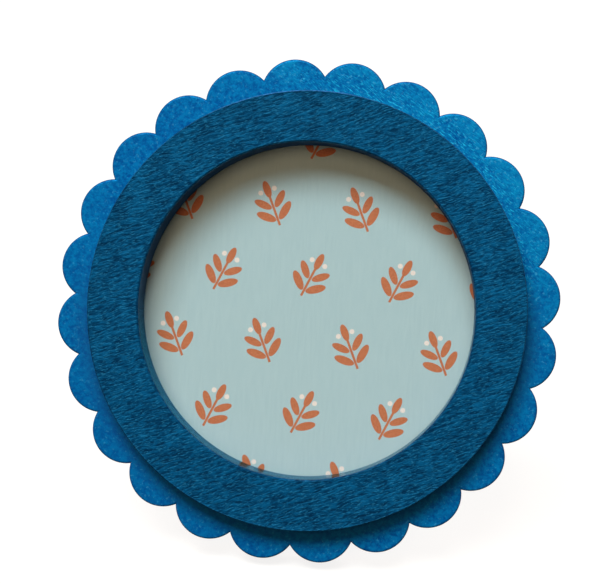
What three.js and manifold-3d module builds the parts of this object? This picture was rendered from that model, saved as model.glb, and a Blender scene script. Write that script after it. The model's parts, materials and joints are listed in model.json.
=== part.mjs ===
// Round resin photo frame on a folding easel leg.
// Millimetres. Inside the leaning frame: X right, Y from the front face backwards, Z up the face.

import * as THREE from "three";
import { mergeVertices } from "three/addons/utils/BufferGeometryUtils.js";
import Module from "manifold-3d";

const wasm = await Module();
wasm.setup();
const DEG = Math.PI / 180;

// Scalloped plate
const TIP_RADIUS = 76.2;
const SCALLOP_COUNT = 24;
const SCALLOP_DEPTH = 5.25;
const PLATE_EDGE_ROUND = 0.7;
const LIP_THICKNESS = 6;
const REBATE_WIDTH = 2.7;

// Raised ring
const RING_OUTER_RADIUS = 66.1;
const WINDOW_RADIUS = 50.6;
const RING_HEIGHT = 7;
const RING_EDGE_ROUND = 0.5;
const WINDOW_EDGE_ROUND = 1.5;
const SPIGOT_WALL = 2;

// Pieces stacked in the rebate
const GLASS_THICKNESS = 2;
const GLASS_ARRIS = 0.3;
const CARD_THICKNESS = 0.4;
const BOARD_THICKNESS = 2;

// Clearances
const SEAT_GAP = 0.3;
const FIT_CLEARANCE = 0.3;
const LOOSE_CLEARANCE = 0.4;

// Turn buttons and their screws
const BUTTON_COUNT = 4;
const SCREW_SETBACK = 6.4;
const BUTTON_THICKNESS = 1;
const BUTTON_EYE_RADIUS = 4.2;
const BUTTON_TIP_RADIUS = 2.8;
const BUTTON_REACH = 9;
const BUTTON_BEND_LENGTH = 3;
const BUTTON_BEND_ANGLE = 28 * DEG;
const SCREW_SHANK_RADIUS = 1.3;
const SCREW_HEAD_RADIUS = 2.9;
const SCREW_HEAD_HEIGHT = 1.8;
const SCREW_GRIP = 5.4;
const SCREW_POINT = 1.2;
const RECESS_LENGTH = 3;
const RECESS_WIDTH = 0.7;
const RECESS_DEPTH = 1;

// Easel leg and its hinge
const LEAN_ANGLE = 18 * DEG;
const OPEN_ANGLE = 28 * DEG;
const HINGE_HEIGHT = 25;
const LEAF_THICKNESS = 0.8;
const PIN_RADIUS = 0.8;
const PIN_HEAD_RADIUS = 1.5;
const PIN_HEAD_LENGTH = 0.6;
const OUTER_KNUCKLE_LENGTH = 7.8;
const INNER_KNUCKLE_LENGTH = 3.3;
const STOP_TAB_WIDTH = 2.6;
const KNUCKLE_GAP = 0.3;
const CURL_ANGLE = 290 * DEG;
const LEAF_HEIGHT = 16;
const LEAF_WAIST = 3;
const LEAF_CORNER = 2.5;
const LEG_THICKNESS = 2.4;
const LEG_TOP_WIDTH = 26;
const LEG_FOOT_WIDTH = 40;
const LEG_CORNER = 4;
const RIVET_SHANK_RADIUS = 1.1;
const RIVET_HEAD_RADIUS = 2.2;
const RIVET_HEAD_HEIGHT = 1.1;
const RIVET_TAIL_RADIUS = 1.8;
const RIVET_TAIL_DEPTH = 0.7;
const RIVET_SPREAD = 7.5;

// Facets
const ROUND_STEPS = 96;
const SCALLOP_STEPS = 8;
const SMALL_STEPS = 16;
const EDGE_STEPS = 3;
const CORNER_STEPS = 4;

// Depths from the front face
const plateFront = RING_HEIGHT + SEAT_GAP;
const lipBack = plateFront + LIP_THICKNESS;
const glassFront = lipBack + SEAT_GAP;
const glassBack = glassFront + GLASS_THICKNESS;
const cardFront = glassBack + SEAT_GAP;
const cardBack = cardFront + CARD_THICKNESS;
const boardFront = cardBack + SEAT_GAP;
const plateBack = boardFront + BOARD_THICKNESS;

// Radii of what seats in the plate
const spigotRadius = WINDOW_RADIUS + SPIGOT_WALL;
const openingRadius = spigotRadius + FIT_CLEARANCE;
const rebateRadius = openingRadius + REBATE_WIDTH;
const glassRadius = rebateRadius - LOOSE_CLEARANCE;
const cardRadius = glassRadius - FIT_CLEARANCE;
const boardRadius = glassRadius;
const screwCircleRadius = rebateRadius + SCREW_SETBACK;

// Hinge, measured from the axis of the pin
const knuckleRadius = PIN_RADIUS + FIT_CLEARANCE + LEAF_THICKNESS;
const boreRadius = PIN_RADIUS + FIT_CLEARANCE;
const leafInset = SEAT_GAP;
const pinDepth = plateBack + leafInset + knuckleRadius;
const legBack = boreRadius - SEAT_GAP;
const legFront = legBack - LEG_THICKNESS;
const innerSpan = STOP_TAB_WIDTH + 2 * (INNER_KNUCKLE_LENGTH + KNUCKLE_GAP);
const outerStart = innerSpan / 2 + KNUCKLE_GAP;
const hingeWidth = 2 * (outerStart + OUTER_KNUCKLE_LENGTH);
const rivetDrop = (LEAF_WAIST + LEAF_HEIGHT) / 2;

// Finishes
const PEARL_BLUE = { color: 0x0b6fa3, roughness: 0.35, metalness: 0.15 };
const GRAINED_TEAL = { color: 0x0b496d, roughness: 0.6, metalness: 0 };
const CLEAR_GLASS = { color: 0xdfeeee, roughness: 0.05, metalness: 0 };
const MINT_CARD = { color: 0xabc3c3, roughness: 0.8, metalness: 0 };
const BLACK_VELOUR = { color: 0x15161a, roughness: 0.95, metalness: 0 };
const PLATED_STEEL = { color: 0xb9bdc2, roughness: 0.35, metalness: 0.9 };

// Solid from a geometry, with its corners joined and its empty facets left out.
function toSolid(geometry) {
  const plain = geometry.clone();
  plain.deleteAttribute("normal");
  plain.deleteAttribute("uv");
  const joined = mergeVertices(plain, 1e-4);
  const corners = joined.index.array;
  const kept = [];
  for (let i = 0; i < corners.length; i += 3) {
    const [a, b, c] = corners.slice(i, i + 3);
    if (a !== b && b !== c && c !== a) kept.push(a, b, c);
  }
  return new wasm.Manifold(
    new wasm.Mesh({
      numProp: 3,
      vertProperties: new Float32Array(joined.attributes.position.array),
      triVerts: new Uint32Array(kept),
    }),
  );
}

// Geometry from a solid.
function toGeometry(solid) {
  const mesh = solid.getMesh();
  const geometry = new THREE.BufferGeometry();
  geometry.setAttribute("position", new THREE.BufferAttribute(mesh.vertProperties, 3));
  geometry.setIndex(new THREE.BufferAttribute(mesh.triVerts, 1));
  return geometry;
}

// Named mesh with a finish of its own.
function piece(name, solid, finish) {
  const mesh = new THREE.Mesh(toGeometry(solid), new THREE.MeshStandardMaterial(finish));
  mesh.name = name;
  return mesh;
}

// Solid turned about Y from [radius, depth] points that run counter-clockwise.
function revolve(profile, steps) {
  const points = profile.map(([radius, depth]) => new THREE.Vector2(radius, depth));
  return toSolid(new THREE.LatheGeometry(points, steps));
}

// Points on a quarter or other arc, from one angle to another.
function arc(centreA, centreB, radius, from, to, steps) {
  const points = [];
  for (let i = 0; i <= steps; i += 1) {
    const angle = from + ((to - from) * i) / steps;
    points.push([centreA + radius * Math.cos(angle), centreB + radius * Math.sin(angle)]);
  }
  return points;
}

function extrusion(points, length) {
  const shape = new THREE.Shape(points.map(([a, b]) => new THREE.Vector2(a, b)));
  return new THREE.ExtrudeGeometry(shape, { depth: length, bevelEnabled: false, steps: 1 });
}

// Outline in depth and height, drawn out along X.
function drawnAlongX(points, from, to) {
  const geometry = extrusion(points, to - from);
  const turn = new THREE.Matrix4().makeBasis(
    new THREE.Vector3(0, 1, 0),
    new THREE.Vector3(0, 0, 1),
    new THREE.Vector3(1, 0, 0),
  );
  return toSolid(geometry.applyMatrix4(turn).translate(from, 0, 0));
}

// Outline in width and height, drawn out along Y.
function drawnAlongY(points, from, to) {
  const geometry = extrusion(points, to - from);
  const turn = new THREE.Matrix4().makeBasis(
    new THREE.Vector3(1, 0, 0),
    new THREE.Vector3(0, 0, 1),
    new THREE.Vector3(0, -1, 0),
  );
  return toSolid(geometry.applyMatrix4(turn).translate(0, to, 0));
}

// Outline in width and depth, drawn out along Z on both sides of the middle.
function drawnAlongZ(points, length) {
  return toSolid(extrusion(points, length).translate(0, 0, -length / 2));
}

// Counter-clockwise outline with each corner [a, b, radius] rounded.
function roundedOutline(corners) {
  const points = [];
  corners.forEach(([a, b, radius], i) => {
    const corner = new THREE.Vector2(a, b);
    const before = new THREE.Vector2(...corners.at(i - 1)).sub(corner).normalize();
    const after = new THREE.Vector2(...corners[(i + 1) % corners.length]).sub(corner).normalize();
    const half = Math.acos(before.dot(after)) / 2;
    const middle = before.clone().add(after).setLength(radius / Math.sin(half)).add(corner);
    const start = corner.clone().addScaledVector(before, radius / Math.tan(half)).sub(middle);
    const sweep = Math.PI - 2 * half;
    points.push(...arc(middle.x, middle.y, radius, start.angle(), start.angle() + sweep, CORNER_STEPS));
  });
  return points;
}

// Round bar along Y.
function bar(radius, from, to, x, z) {
  return revolve([[0, from], [radius, from], [radius, to], [0, to]], SMALL_STEPS).translate([x, 0, z]);
}

// Scallop radius that gives the depth asked for between tip and valley.
const halfPitch = Math.PI / SCALLOP_COUNT;
const valleyRadius = TIP_RADIUS - SCALLOP_DEPTH;
const scallopRadius =
  (valleyRadius ** 2 - 2 * valleyRadius * TIP_RADIUS * Math.cos(halfPitch) + TIP_RADIUS ** 2) /
  (2 * (TIP_RADIUS - valleyRadius * Math.cos(halfPitch)));
const pitchRadius = TIP_RADIUS - scallopRadius;
const edgeRound = Math.min(PLATE_EDGE_ROUND, 0.9 * (scallopRadius - pitchRadius * Math.sin(halfPitch)));

// Scalloped outline moved inwards, with a valley straight down.
function scallopedOutline(inset) {
  const radius = scallopRadius - inset;
  const across = pitchRadius * Math.sin(halfPitch);
  const reach = Math.sqrt(radius ** 2 - across ** 2);
  const valley = pitchRadius * Math.cos(halfPitch) + reach;
  const fan = Math.atan2(valley * Math.sin(halfPitch), valley * Math.cos(halfPitch) - pitchRadius);
  const points = [];
  for (let k = 0; k < SCALLOP_COUNT; k += 1) {
    const tip = -Math.PI / 2 + halfPitch + 2 * halfPitch * k;
    const centreX = pitchRadius * Math.cos(tip);
    const centreZ = pitchRadius * Math.sin(tip);
    points.push(...arc(centreX, centreZ, radius, tip - fan, tip + fan, SCALLOP_STEPS).slice(0, -1));
  }
  return points;
}

// Body through scalloped sections, whose valleys run in as its edges roll over.
function scallopedBody(front, back) {
  const sections = [];
  for (let i = 0; i <= EDGE_STEPS; i += 1) {
    const turn = (Math.PI / 2) * (i / EDGE_STEPS);
    sections.push([front + edgeRound * (1 - Math.sin(turn)), edgeRound * (1 - Math.cos(turn))]);
  }
  sections.reverse();
  for (let i = 0; i <= EDGE_STEPS; i += 1) {
    const turn = (Math.PI / 2) * (i / EDGE_STEPS);
    sections.push([back - edgeRound * (1 - Math.sin(turn)), edgeRound * (1 - Math.cos(turn))]);
  }
  const count = SCALLOP_COUNT * SCALLOP_STEPS;
  const positions = [];
  for (const [depth, inset] of sections) {
    for (const [x, z] of scallopedOutline(inset)) positions.push(x, depth, z);
  }
  positions.push(0, front, 0, 0, back, 0);
  const frontHub = sections.length * count;
  const backHub = frontHub + 1;
  const lastRow = (sections.length - 1) * count;
  const facets = [];
  for (let i = 0; i < count; i += 1) {
    const next = (i + 1) % count;
    for (let row = 0; row < lastRow; row += count) {
      facets.push(row + i, row + count + i, row + next);
      facets.push(row + next, row + count + i, row + count + next);
    }
    facets.push(frontHub, i, next);
    facets.push(backHub, lastRow + next, lastRow + i);
  }
  const geometry = new THREE.BufferGeometry();
  geometry.setAttribute("position", new THREE.Float32BufferAttribute(positions, 3));
  geometry.setIndex(facets);
  return toSolid(geometry);
}

function buttonAngle(k) {
  return ((k + 0.5) * 2 * Math.PI) / BUTTON_COUNT;
}

function buttonPlace(k) {
  return [screwCircleRadius * Math.cos(buttonAngle(k)), screwCircleRadius * Math.sin(buttonAngle(k))];
}

function scallopedPlate() {
  const over = 1;
  let plate = scallopedBody(plateFront, plateBack);
  const cutter = revolve(
    [
      [0, plateFront - over],
      [openingRadius, plateFront - over],
      [openingRadius, lipBack],
      [rebateRadius, lipBack],
      [rebateRadius, plateBack + over],
      [0, plateBack + over],
    ],
    ROUND_STEPS,
  );
  plate = plate.subtract(cutter);
  const pilotDepth = plateBack - SCREW_GRIP;
  for (let k = 0; k < BUTTON_COUNT; k += 1) {
    const [x, z] = buttonPlace(k);
    plate = plate.subtract(bar(SCREW_SHANK_RADIUS + FIT_CLEARANCE, pilotDepth, plateBack + over, x, z));
  }
  return plate;
}

function raisedRing() {
  const round = RING_EDGE_ROUND;
  const soft = WINDOW_EDGE_ROUND;
  const inner = WINDOW_RADIUS;
  const outer = RING_OUTER_RADIUS;
  const outerEdge = arc(outer - round, round, round, -Math.PI / 2, 0, EDGE_STEPS);
  const innerEdge = arc(inner + soft, soft, soft, -Math.PI, -Math.PI / 2, EDGE_STEPS);
  const profile = [
    ...innerEdge,
    ...outerEdge,
    [outer, RING_HEIGHT],
    [spigotRadius, RING_HEIGHT],
    [spigotRadius, lipBack],
    [inner, lipBack],
    innerEdge[0],
  ];
  return revolve(profile, ROUND_STEPS);
}

function glassPane() {
  const arris = GLASS_ARRIS;
  return revolve(
    [
      [0, glassFront],
      [glassRadius - arris, glassFront],
      [glassRadius, glassFront + arris],
      [glassRadius, glassBack - arris],
      [glassRadius - arris, glassBack],
      [0, glassBack],
    ],
    ROUND_STEPS,
  );
}

function photoCard() {
  return revolve([[0, cardFront], [cardRadius, cardFront], [cardRadius, cardBack], [0, cardBack]], ROUND_STEPS);
}

// Rivet with its domed head behind and its tail spread flush in front.
function rivet(headSeat, tailFace, x, z) {
  const dome = arc(0, 0, 1, 0, Math.PI / 2, EDGE_STEPS);
  return revolve(
    [
      [0, tailFace],
      [RIVET_TAIL_RADIUS, tailFace],
      [RIVET_SHANK_RADIUS, tailFace + RIVET_TAIL_DEPTH],
      [RIVET_SHANK_RADIUS, headSeat],
      ...dome.map(([a, b]) => [RIVET_HEAD_RADIUS * Math.max(a, 0), headSeat + RIVET_HEAD_HEIGHT * b]).slice(0, -1),
      [0, headSeat + RIVET_HEAD_HEIGHT],
    ],
    SMALL_STEPS,
  ).translate([x, 0, z]);
}

// Hole for a rivet, flared at its tail.
function rivetHole(tailFace, end, x, z) {
  const over = 1;
  const tail = RIVET_TAIL_RADIUS + FIT_CLEARANCE;
  const shank = RIVET_SHANK_RADIUS + FIT_CLEARANCE;
  return revolve(
    [
      [0, tailFace - over],
      [tail, tailFace - over],
      [tail, tailFace],
      [shank, tailFace + RIVET_TAIL_DEPTH],
      [shank, end + over],
      [0, end + over],
    ],
    SMALL_STEPS,
  ).translate([x, 0, z]);
}

function backingBoard() {
  const rivetHeight = HINGE_HEIGHT + rivetDrop;
  const arris = GLASS_ARRIS;
  const board = revolve(
    [
      [0, boardFront],
      [boardRadius, boardFront],
      [boardRadius, plateBack - arris],
      [boardRadius - arris, plateBack],
      [0, plateBack],
    ],
    ROUND_STEPS,
  );
  return board
    .subtract(rivetHole(boardFront, plateBack, RIVET_SPREAD, rivetHeight))
    .subtract(rivetHole(boardFront, plateBack, -RIVET_SPREAD, rivetHeight));
}

// Flat button with a hole for its screw at the origin and a lifted tip along X.
function turnButton() {
  const thickness = BUTTON_THICKNESS;
  const end = BUTTON_REACH + BUTTON_TIP_RADIUS;
  const bend = end - BUTTON_BEND_LENGTH;
  const lift = BUTTON_BEND_LENGTH * Math.tan(BUTTON_BEND_ANGLE);
  const side = [
    [-BUTTON_EYE_RADIUS, 0],
    [bend, 0],
    [end, lift],
    [end, lift + thickness],
    [bend, thickness],
    [-BUTTON_EYE_RADIUS, thickness],
  ];
  const flare = Math.acos((BUTTON_EYE_RADIUS - BUTTON_TIP_RADIUS) / BUTTON_REACH);
  const plan = [
    ...arc(0, 0, BUTTON_EYE_RADIUS, flare, 2 * Math.PI - flare, SMALL_STEPS),
    ...arc(BUTTON_REACH, 0, BUTTON_TIP_RADIUS, -flare, flare, SMALL_STEPS / 2),
  ];
  const over = 1;
  return drawnAlongZ(side, 4 * BUTTON_EYE_RADIUS)
    .intersect(drawnAlongY(plan, -over, lift + thickness + over))
    .subtract(bar(SCREW_SHANK_RADIUS + FIT_CLEARANCE, -over, thickness + over, 0, 0));
}

// Pan-head screw with its head seated at depth 0 and a cross recess.
function buttonScrew(length) {
  const over = 1;
  const rim = SCREW_HEAD_HEIGHT / 3;
  const dome = arc(0, 0, 1, 0, Math.PI / 2, EDGE_STEPS);
  const crown = dome.map(([a, b]) => [SCREW_HEAD_RADIUS * a, rim + (SCREW_HEAD_HEIGHT - rim) * b]);
  const screw = revolve(
    [
      [0, -length],
      [SCREW_SHANK_RADIUS, -length + SCREW_POINT],
      [SCREW_SHANK_RADIUS, 0],
      [SCREW_HEAD_RADIUS, 0],
      ...crown.slice(0, -1),
      [0, SCREW_HEAD_HEIGHT],
    ],
    SMALL_STEPS,
  );
  const half = RECESS_LENGTH / 2;
  const thin = RECESS_WIDTH / 2;
  const slot = [[-half, -thin], [half, -thin], [half, thin], [-half, thin]];
  const cross = [[-thin, -half], [thin, -half], [thin, half], [-thin, half]];
  const floor = SCREW_HEAD_HEIGHT - RECESS_DEPTH;
  return screw
    .subtract(drawnAlongY(slot, floor, SCREW_HEAD_HEIGHT + over))
    .subtract(drawnAlongY(cross, floor, SCREW_HEAD_HEIGHT + over));
}

// Section of a knuckle rolled from the sheet, from the plate on its front side and under the pin.
function curlSection(plateEnd) {
  const outer = arc(0, 0, knuckleRadius, Math.PI, Math.PI + CURL_ANGLE, SMALL_STEPS);
  const inner = arc(0, 0, boreRadius, Math.PI + CURL_ANGLE, Math.PI, SMALL_STEPS);
  return [[-knuckleRadius, plateEnd], ...outer, ...inner, [-boreRadius, plateEnd]];
}

// Leaf on the board: plate above the pin, knuckles at its two ends.
function boardLeaf() {
  const half = hingeWidth / 2;
  const top = LEAF_WAIST + LEAF_HEIGHT;
  const overlap = LEAF_WAIST + LEAF_CORNER;
  const plan = roundedOutline([
    [-half, LEAF_WAIST, 0.2],
    [half, LEAF_WAIST, 0.2],
    [half, top, LEAF_CORNER],
    [-half, top, LEAF_CORNER],
  ]);
  const section = curlSection(overlap);
  let leaf = drawnAlongY(plan, -knuckleRadius, -boreRadius)
    .add(drawnAlongX(section, -half, -outerStart))
    .add(drawnAlongX(section, outerStart, half));
  for (const side of [-1, 1]) {
    const hole = bar(RIVET_SHANK_RADIUS + FIT_CLEARANCE, -2 * knuckleRadius, 0, side * RIVET_SPREAD, rivetDrop);
    leaf = leaf.subtract(hole);
  }
  return leaf;
}

// Length of the stop tab that meets the board leaf when the leg is open.
function stopTabLength() {
  const gap = boreRadius - SEAT_GAP;
  return (boreRadius * Math.cos(OPEN_ANGLE) + gap) / Math.sin(OPEN_ANGLE);
}

// Leaf on the leg: plate below the pin, two inner knuckles and the stop tab between them.
function legLeaf() {
  const half = innerSpan / 2;
  const wide = hingeWidth / 2 - LEAF_CORNER;
  const bottom = -(LEAF_WAIST + LEAF_HEIGHT);
  const overlap = LEAF_WAIST + LEAF_CORNER;
  const plan = roundedOutline([
    [-wide, bottom, LEAF_CORNER],
    [wide, bottom, LEAF_CORNER],
    [wide, -LEAF_WAIST, LEAF_CORNER / 2],
    [-wide, -LEAF_WAIST, LEAF_CORNER / 2],
  ]);
  const section = curlSection(overlap).map(([depth, height]) => [-depth, -height]);
  const tab = STOP_TAB_WIDTH / 2;
  const tabPlan = [[-tab, -overlap], [tab, -overlap], [tab, stopTabLength()], [-tab, stopTabLength()]];
  let leaf = drawnAlongY(plan, boreRadius, knuckleRadius)
    .add(drawnAlongX(section, -half, -half + INNER_KNUCKLE_LENGTH))
    .add(drawnAlongX(section, half - INNER_KNUCKLE_LENGTH, half))
    .add(drawnAlongY(tabPlan, boreRadius, knuckleRadius));
  for (const side of [-1, 1]) {
    const hole = bar(RIVET_SHANK_RADIUS + FIT_CLEARANCE, 0, 2 * knuckleRadius, side * RIVET_SPREAD, -rivetDrop);
    leaf = leaf.subtract(hole);
  }
  return leaf;
}

function hingePin() {
  const end = hingeWidth / 2 + KNUCKLE_GAP;
  const tip = end + PIN_HEAD_LENGTH;
  const pin = revolve(
    [
      [0, -tip],
      [PIN_RADIUS, -tip],
      [PIN_HEAD_RADIUS, -end - PIN_HEAD_LENGTH / 2],
      [PIN_HEAD_RADIUS, -end],
      [PIN_RADIUS, -end],
      [PIN_RADIUS, end],
      [PIN_HEAD_RADIUS, end],
      [PIN_HEAD_RADIUS, end + PIN_HEAD_LENGTH / 2],
      [PIN_RADIUS, tip],
      [0, tip],
    ],
    SMALL_STEPS,
  );
  return pin.rotate([0, 0, 90]);
}

// Height of the table below the middle of the face, square to the table.
function tableDrop(plate) {
  const { vertProperties } = plate.getMesh();
  let lowest = Infinity;
  for (let i = 0; i < vertProperties.length; i += 3) {
    const height = vertProperties[i + 2] * Math.cos(LEAN_ANGLE) - vertProperties[i + 1] * Math.sin(LEAN_ANGLE);
    lowest = Math.min(lowest, height);
  }
  return -lowest;
}

// Tapered strut below the pin, its foot cut to lie flat on the table when open.
function easelLeg(drop) {
  const over = 1;
  const spread = OPEN_ANGLE - LEAN_ANGLE;
  const pinHeight = HINGE_HEIGHT * Math.cos(LEAN_ANGLE) - pinDepth * Math.sin(LEAN_ANGLE) + drop;
  const footAt = (depth) => -(pinHeight + depth * Math.sin(spread)) / Math.cos(spread);
  const top = -LEAF_WAIST;
  const side = [
    [legFront, footAt(legFront)],
    [legBack, footAt(legBack)],
    [legBack, top],
    [legFront, top],
  ];
  const foot = LEG_FOOT_WIDTH / 2;
  const head = LEG_TOP_WIDTH / 2;
  const plan = roundedOutline([
    [-foot, footAt(legBack), LEG_CORNER],
    [foot, footAt(legBack), LEG_CORNER],
    [head, top, LEG_CORNER],
    [-head, top, LEG_CORNER],
  ]);
  let leg = drawnAlongX(side, -LEG_FOOT_WIDTH, LEG_FOOT_WIDTH).intersect(
    drawnAlongY(plan, legFront - over, legBack + over),
  );
  for (const x of [-RIVET_SPREAD, RIVET_SPREAD]) {
    leg = leg.subtract(rivetHole(legFront, legBack, x, -rivetDrop));
  }
  return leg;
}

const plate = scallopedPlate();
const frame = new THREE.Group();
frame.name = "leaning_frame";
frame.add(
  piece("scalloped_base", plate, PEARL_BLUE),
  piece("front_ring", raisedRing(), GRAINED_TEAL),
  piece("glass_pane", glassPane(), CLEAR_GLASS),
  piece("photo_card", photoCard(), MINT_CARD),
  piece("backing_board", backingBoard(), BLACK_VELOUR),
);

for (let k = 0; k < BUTTON_COUNT; k += 1) {
  const [x, z] = buttonPlace(k);
  const buttonSeat = plateBack + SEAT_GAP;
  const headSeat = buttonSeat + BUTTON_THICKNESS + SEAT_GAP;
  const button = piece(`turn_button_${k + 1}`, turnButton(), PLATED_STEEL);
  button.position.set(x, buttonSeat, z);
  button.rotation.y = Math.PI - buttonAngle(k);
  const shank = SCREW_GRIP - SEAT_GAP + (headSeat - plateBack);
  const screw = piece(`turn_button_screw_${k + 1}`, buttonScrew(shank), PLATED_STEEL);
  screw.position.set(x, headSeat, z);
  screw.rotation.y = Math.PI / 4 - buttonAngle(k);
  frame.add(button, screw);
}

const hinge = new THREE.Group();
hinge.name = "easel_hinge";
hinge.position.set(0, pinDepth, HINGE_HEIGHT);
hinge.add(piece("hinge_board_leaf", boardLeaf(), PLATED_STEEL), piece("hinge_pin", hingePin(), PLATED_STEEL));

const easel = new THREE.Group();
easel.name = "easel";
easel.rotation.x = OPEN_ANGLE;
easel.add(
  piece("easel_leg", easelLeg(tableDrop(plate)), BLACK_VELOUR),
  piece("hinge_leg_leaf", legLeaf(), PLATED_STEEL),
);

[-RIVET_SPREAD, RIVET_SPREAD].forEach((x, i) => {
  const boardTail = boardFront - pinDepth;
  const boardHead = -boreRadius + SEAT_GAP;
  const legHead = knuckleRadius + SEAT_GAP;
  hinge.add(piece(`board_rivet_${i + 1}`, rivet(boardHead, boardTail, x, rivetDrop), PLATED_STEEL));
  easel.add(piece(`leg_rivet_${i + 1}`, rivet(legHead, legFront, x, -rivetDrop), PLATED_STEEL));
});
hinge.add(easel);
frame.add(hinge);
frame.rotation.x = -LEAN_ANGLE;

const object = new THREE.Group();
object.name = "photo_frame";
object.add(frame);
object.updateMatrixWorld(true);
const extent = new THREE.Box3().setFromObject(object, true);
const middle = extent.getCenter(new THREE.Vector3());
frame.position.set(-middle.x, -middle.y, -extent.min.z);
object.updateMatrixWorld(true);

export default object;
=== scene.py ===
"""Dressed model of a round scalloped photo frame that stands on its easel leg."""

import json
import logging
import math
from contextlib import contextmanager
from dataclasses import dataclass
from enum import Enum
from functools import cache
from typing import Callable, Iterator, Mapping, Sequence, Union

import bmesh
import bpy
from mathutils import Matrix, Vector


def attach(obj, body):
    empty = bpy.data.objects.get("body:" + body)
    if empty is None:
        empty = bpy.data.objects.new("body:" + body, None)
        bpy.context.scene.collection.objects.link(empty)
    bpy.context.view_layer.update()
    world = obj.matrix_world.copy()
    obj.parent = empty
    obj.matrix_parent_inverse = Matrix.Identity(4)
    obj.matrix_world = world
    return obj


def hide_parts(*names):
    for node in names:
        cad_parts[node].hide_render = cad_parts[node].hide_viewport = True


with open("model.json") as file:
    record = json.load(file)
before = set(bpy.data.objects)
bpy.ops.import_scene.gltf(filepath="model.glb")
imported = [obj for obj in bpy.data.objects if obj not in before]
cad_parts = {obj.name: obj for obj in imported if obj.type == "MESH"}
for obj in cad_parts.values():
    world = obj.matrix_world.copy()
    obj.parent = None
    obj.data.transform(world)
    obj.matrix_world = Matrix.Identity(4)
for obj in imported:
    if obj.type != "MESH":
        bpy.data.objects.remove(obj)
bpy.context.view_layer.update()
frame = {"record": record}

log = logging.getLogger("photo_frame")

Colour = tuple[float, float, float, float]
Point = tuple[float, float, float]
Pair = tuple[float, float]
Socket = bpy.types.NodeSocket
Source = Union[Socket, float, Sequence[float]]
Span = tuple[Source, Source]
Sockets = Mapping[str, str]

MM = 0.001
HALF = 0.5
RISING: Pair = (0.0, 1.0)
FALLING: Pair = (1.0, 0.0)
WHITE: Colour = (1.0, 1.0, 1.0, 1.0)
# Metres within which two places count as one, and within which a cut takes a corner.
NEAR = 1e-6
CUT_NEAR = 1e-7
# The way that the ring's grain runs, from the right of the face.
GRAIN_ANGLE = math.radians(22.8)
# The turn that lays a piece on its other side.
OVER = Matrix.Rotation(math.pi, 4, "X")


class Slot(Enum):
    """Material slots of the record."""

    PEARL = "pearl_resin"
    GRAINED = "grained_resin"
    GLAZING = "glazing"
    CARD = "printed_card"
    VELOUR = "black_velour_board"
    STEEL = "plated_steel"


class Body(Enum):
    """Bodies that pieces ride on."""

    FRAME = "frame"
    EASEL = "easel"


class Pick(Enum):
    """What a selection in edit mode is made of."""

    VERTS = "VERT"
    EDGES = "EDGE"


def srgb(red: int, green: int, blue: int) -> Colour:
    """Turn a screen colour into a linear one.

    Args:
        red: red from 0 to 255.
        green: green from 0 to 255.
        blue: blue from 0 to 255.

    Returns:
        The linear colour with full alpha.
    """

    def linear(level: int) -> float:
        """Give one channel as a linear value."""
        share = level / 255
        return share / 12.92 if share <= 0.04045 else ((share + 0.055) / 1.055) ** 2.4

    return (linear(red), linear(green), linear(blue), 1.0)


def bearing_way(bearing: float) -> Point:
    """Give the direction on the face at an angle from its right."""
    return (math.cos(bearing), math.sin(bearing), 0.0)


def close(first: float, second: float) -> bool:
    """Tell whether two lengths are the same within rounding."""
    return abs(first - second) < NEAR


@dataclass(frozen=True)
class FacePlane:
    """Bench axes of the frame: it lies face up, X right, Y to its top, Z out of its face.

    Lengths on the bench are in metres and depths behind the face are negative Z.
    """

    lean: float = math.radians(18)
    open_angle: float = math.radians(28)
    pin_depth: float = 20.8 * MM
    pin_height: float = 25 * MM

    def pin(self) -> Vector:
        """Give the middle of the hinge pin in the row frame."""
        joints = frame["record"]["behaviour"]["joints"]
        fold = next(joint for joint in joints if joint["name"] == "easel_fold")
        return Vector(fold["pos_m"])

    def turn(self) -> Matrix:
        """Give the turn from the bench to the row frame."""
        return Matrix.Rotation(math.pi / 2 - self.lean, 4, "X")

    def normal(self) -> Vector:
        """Give the direction out of the face in the row frame."""
        return self.turn().to_3x3() @ Vector((0, 0, 1))

    def centre(self) -> Vector:
        """Give the middle of the ring's front face in the row frame."""
        return self.pin() - self.turn() @ Vector((0, self.pin_height, -self.pin_depth))

    def matrix(self) -> Matrix:
        """Give the move from the bench to the row frame."""
        return Matrix.Translation(self.centre()) @ self.turn()

    def hinge(self) -> Matrix:
        """Give the move from bench axes about the pin to the row frame, for what stays on the board."""
        return Matrix.Translation(self.pin()) @ self.turn()

    def opened(self) -> Matrix:
        """Give the move from bench axes about the pin to the row frame, for what swings with the leg."""
        return self.hinge() @ Matrix.Rotation(self.open_angle, 4, "X")


FACE = FacePlane()


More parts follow.
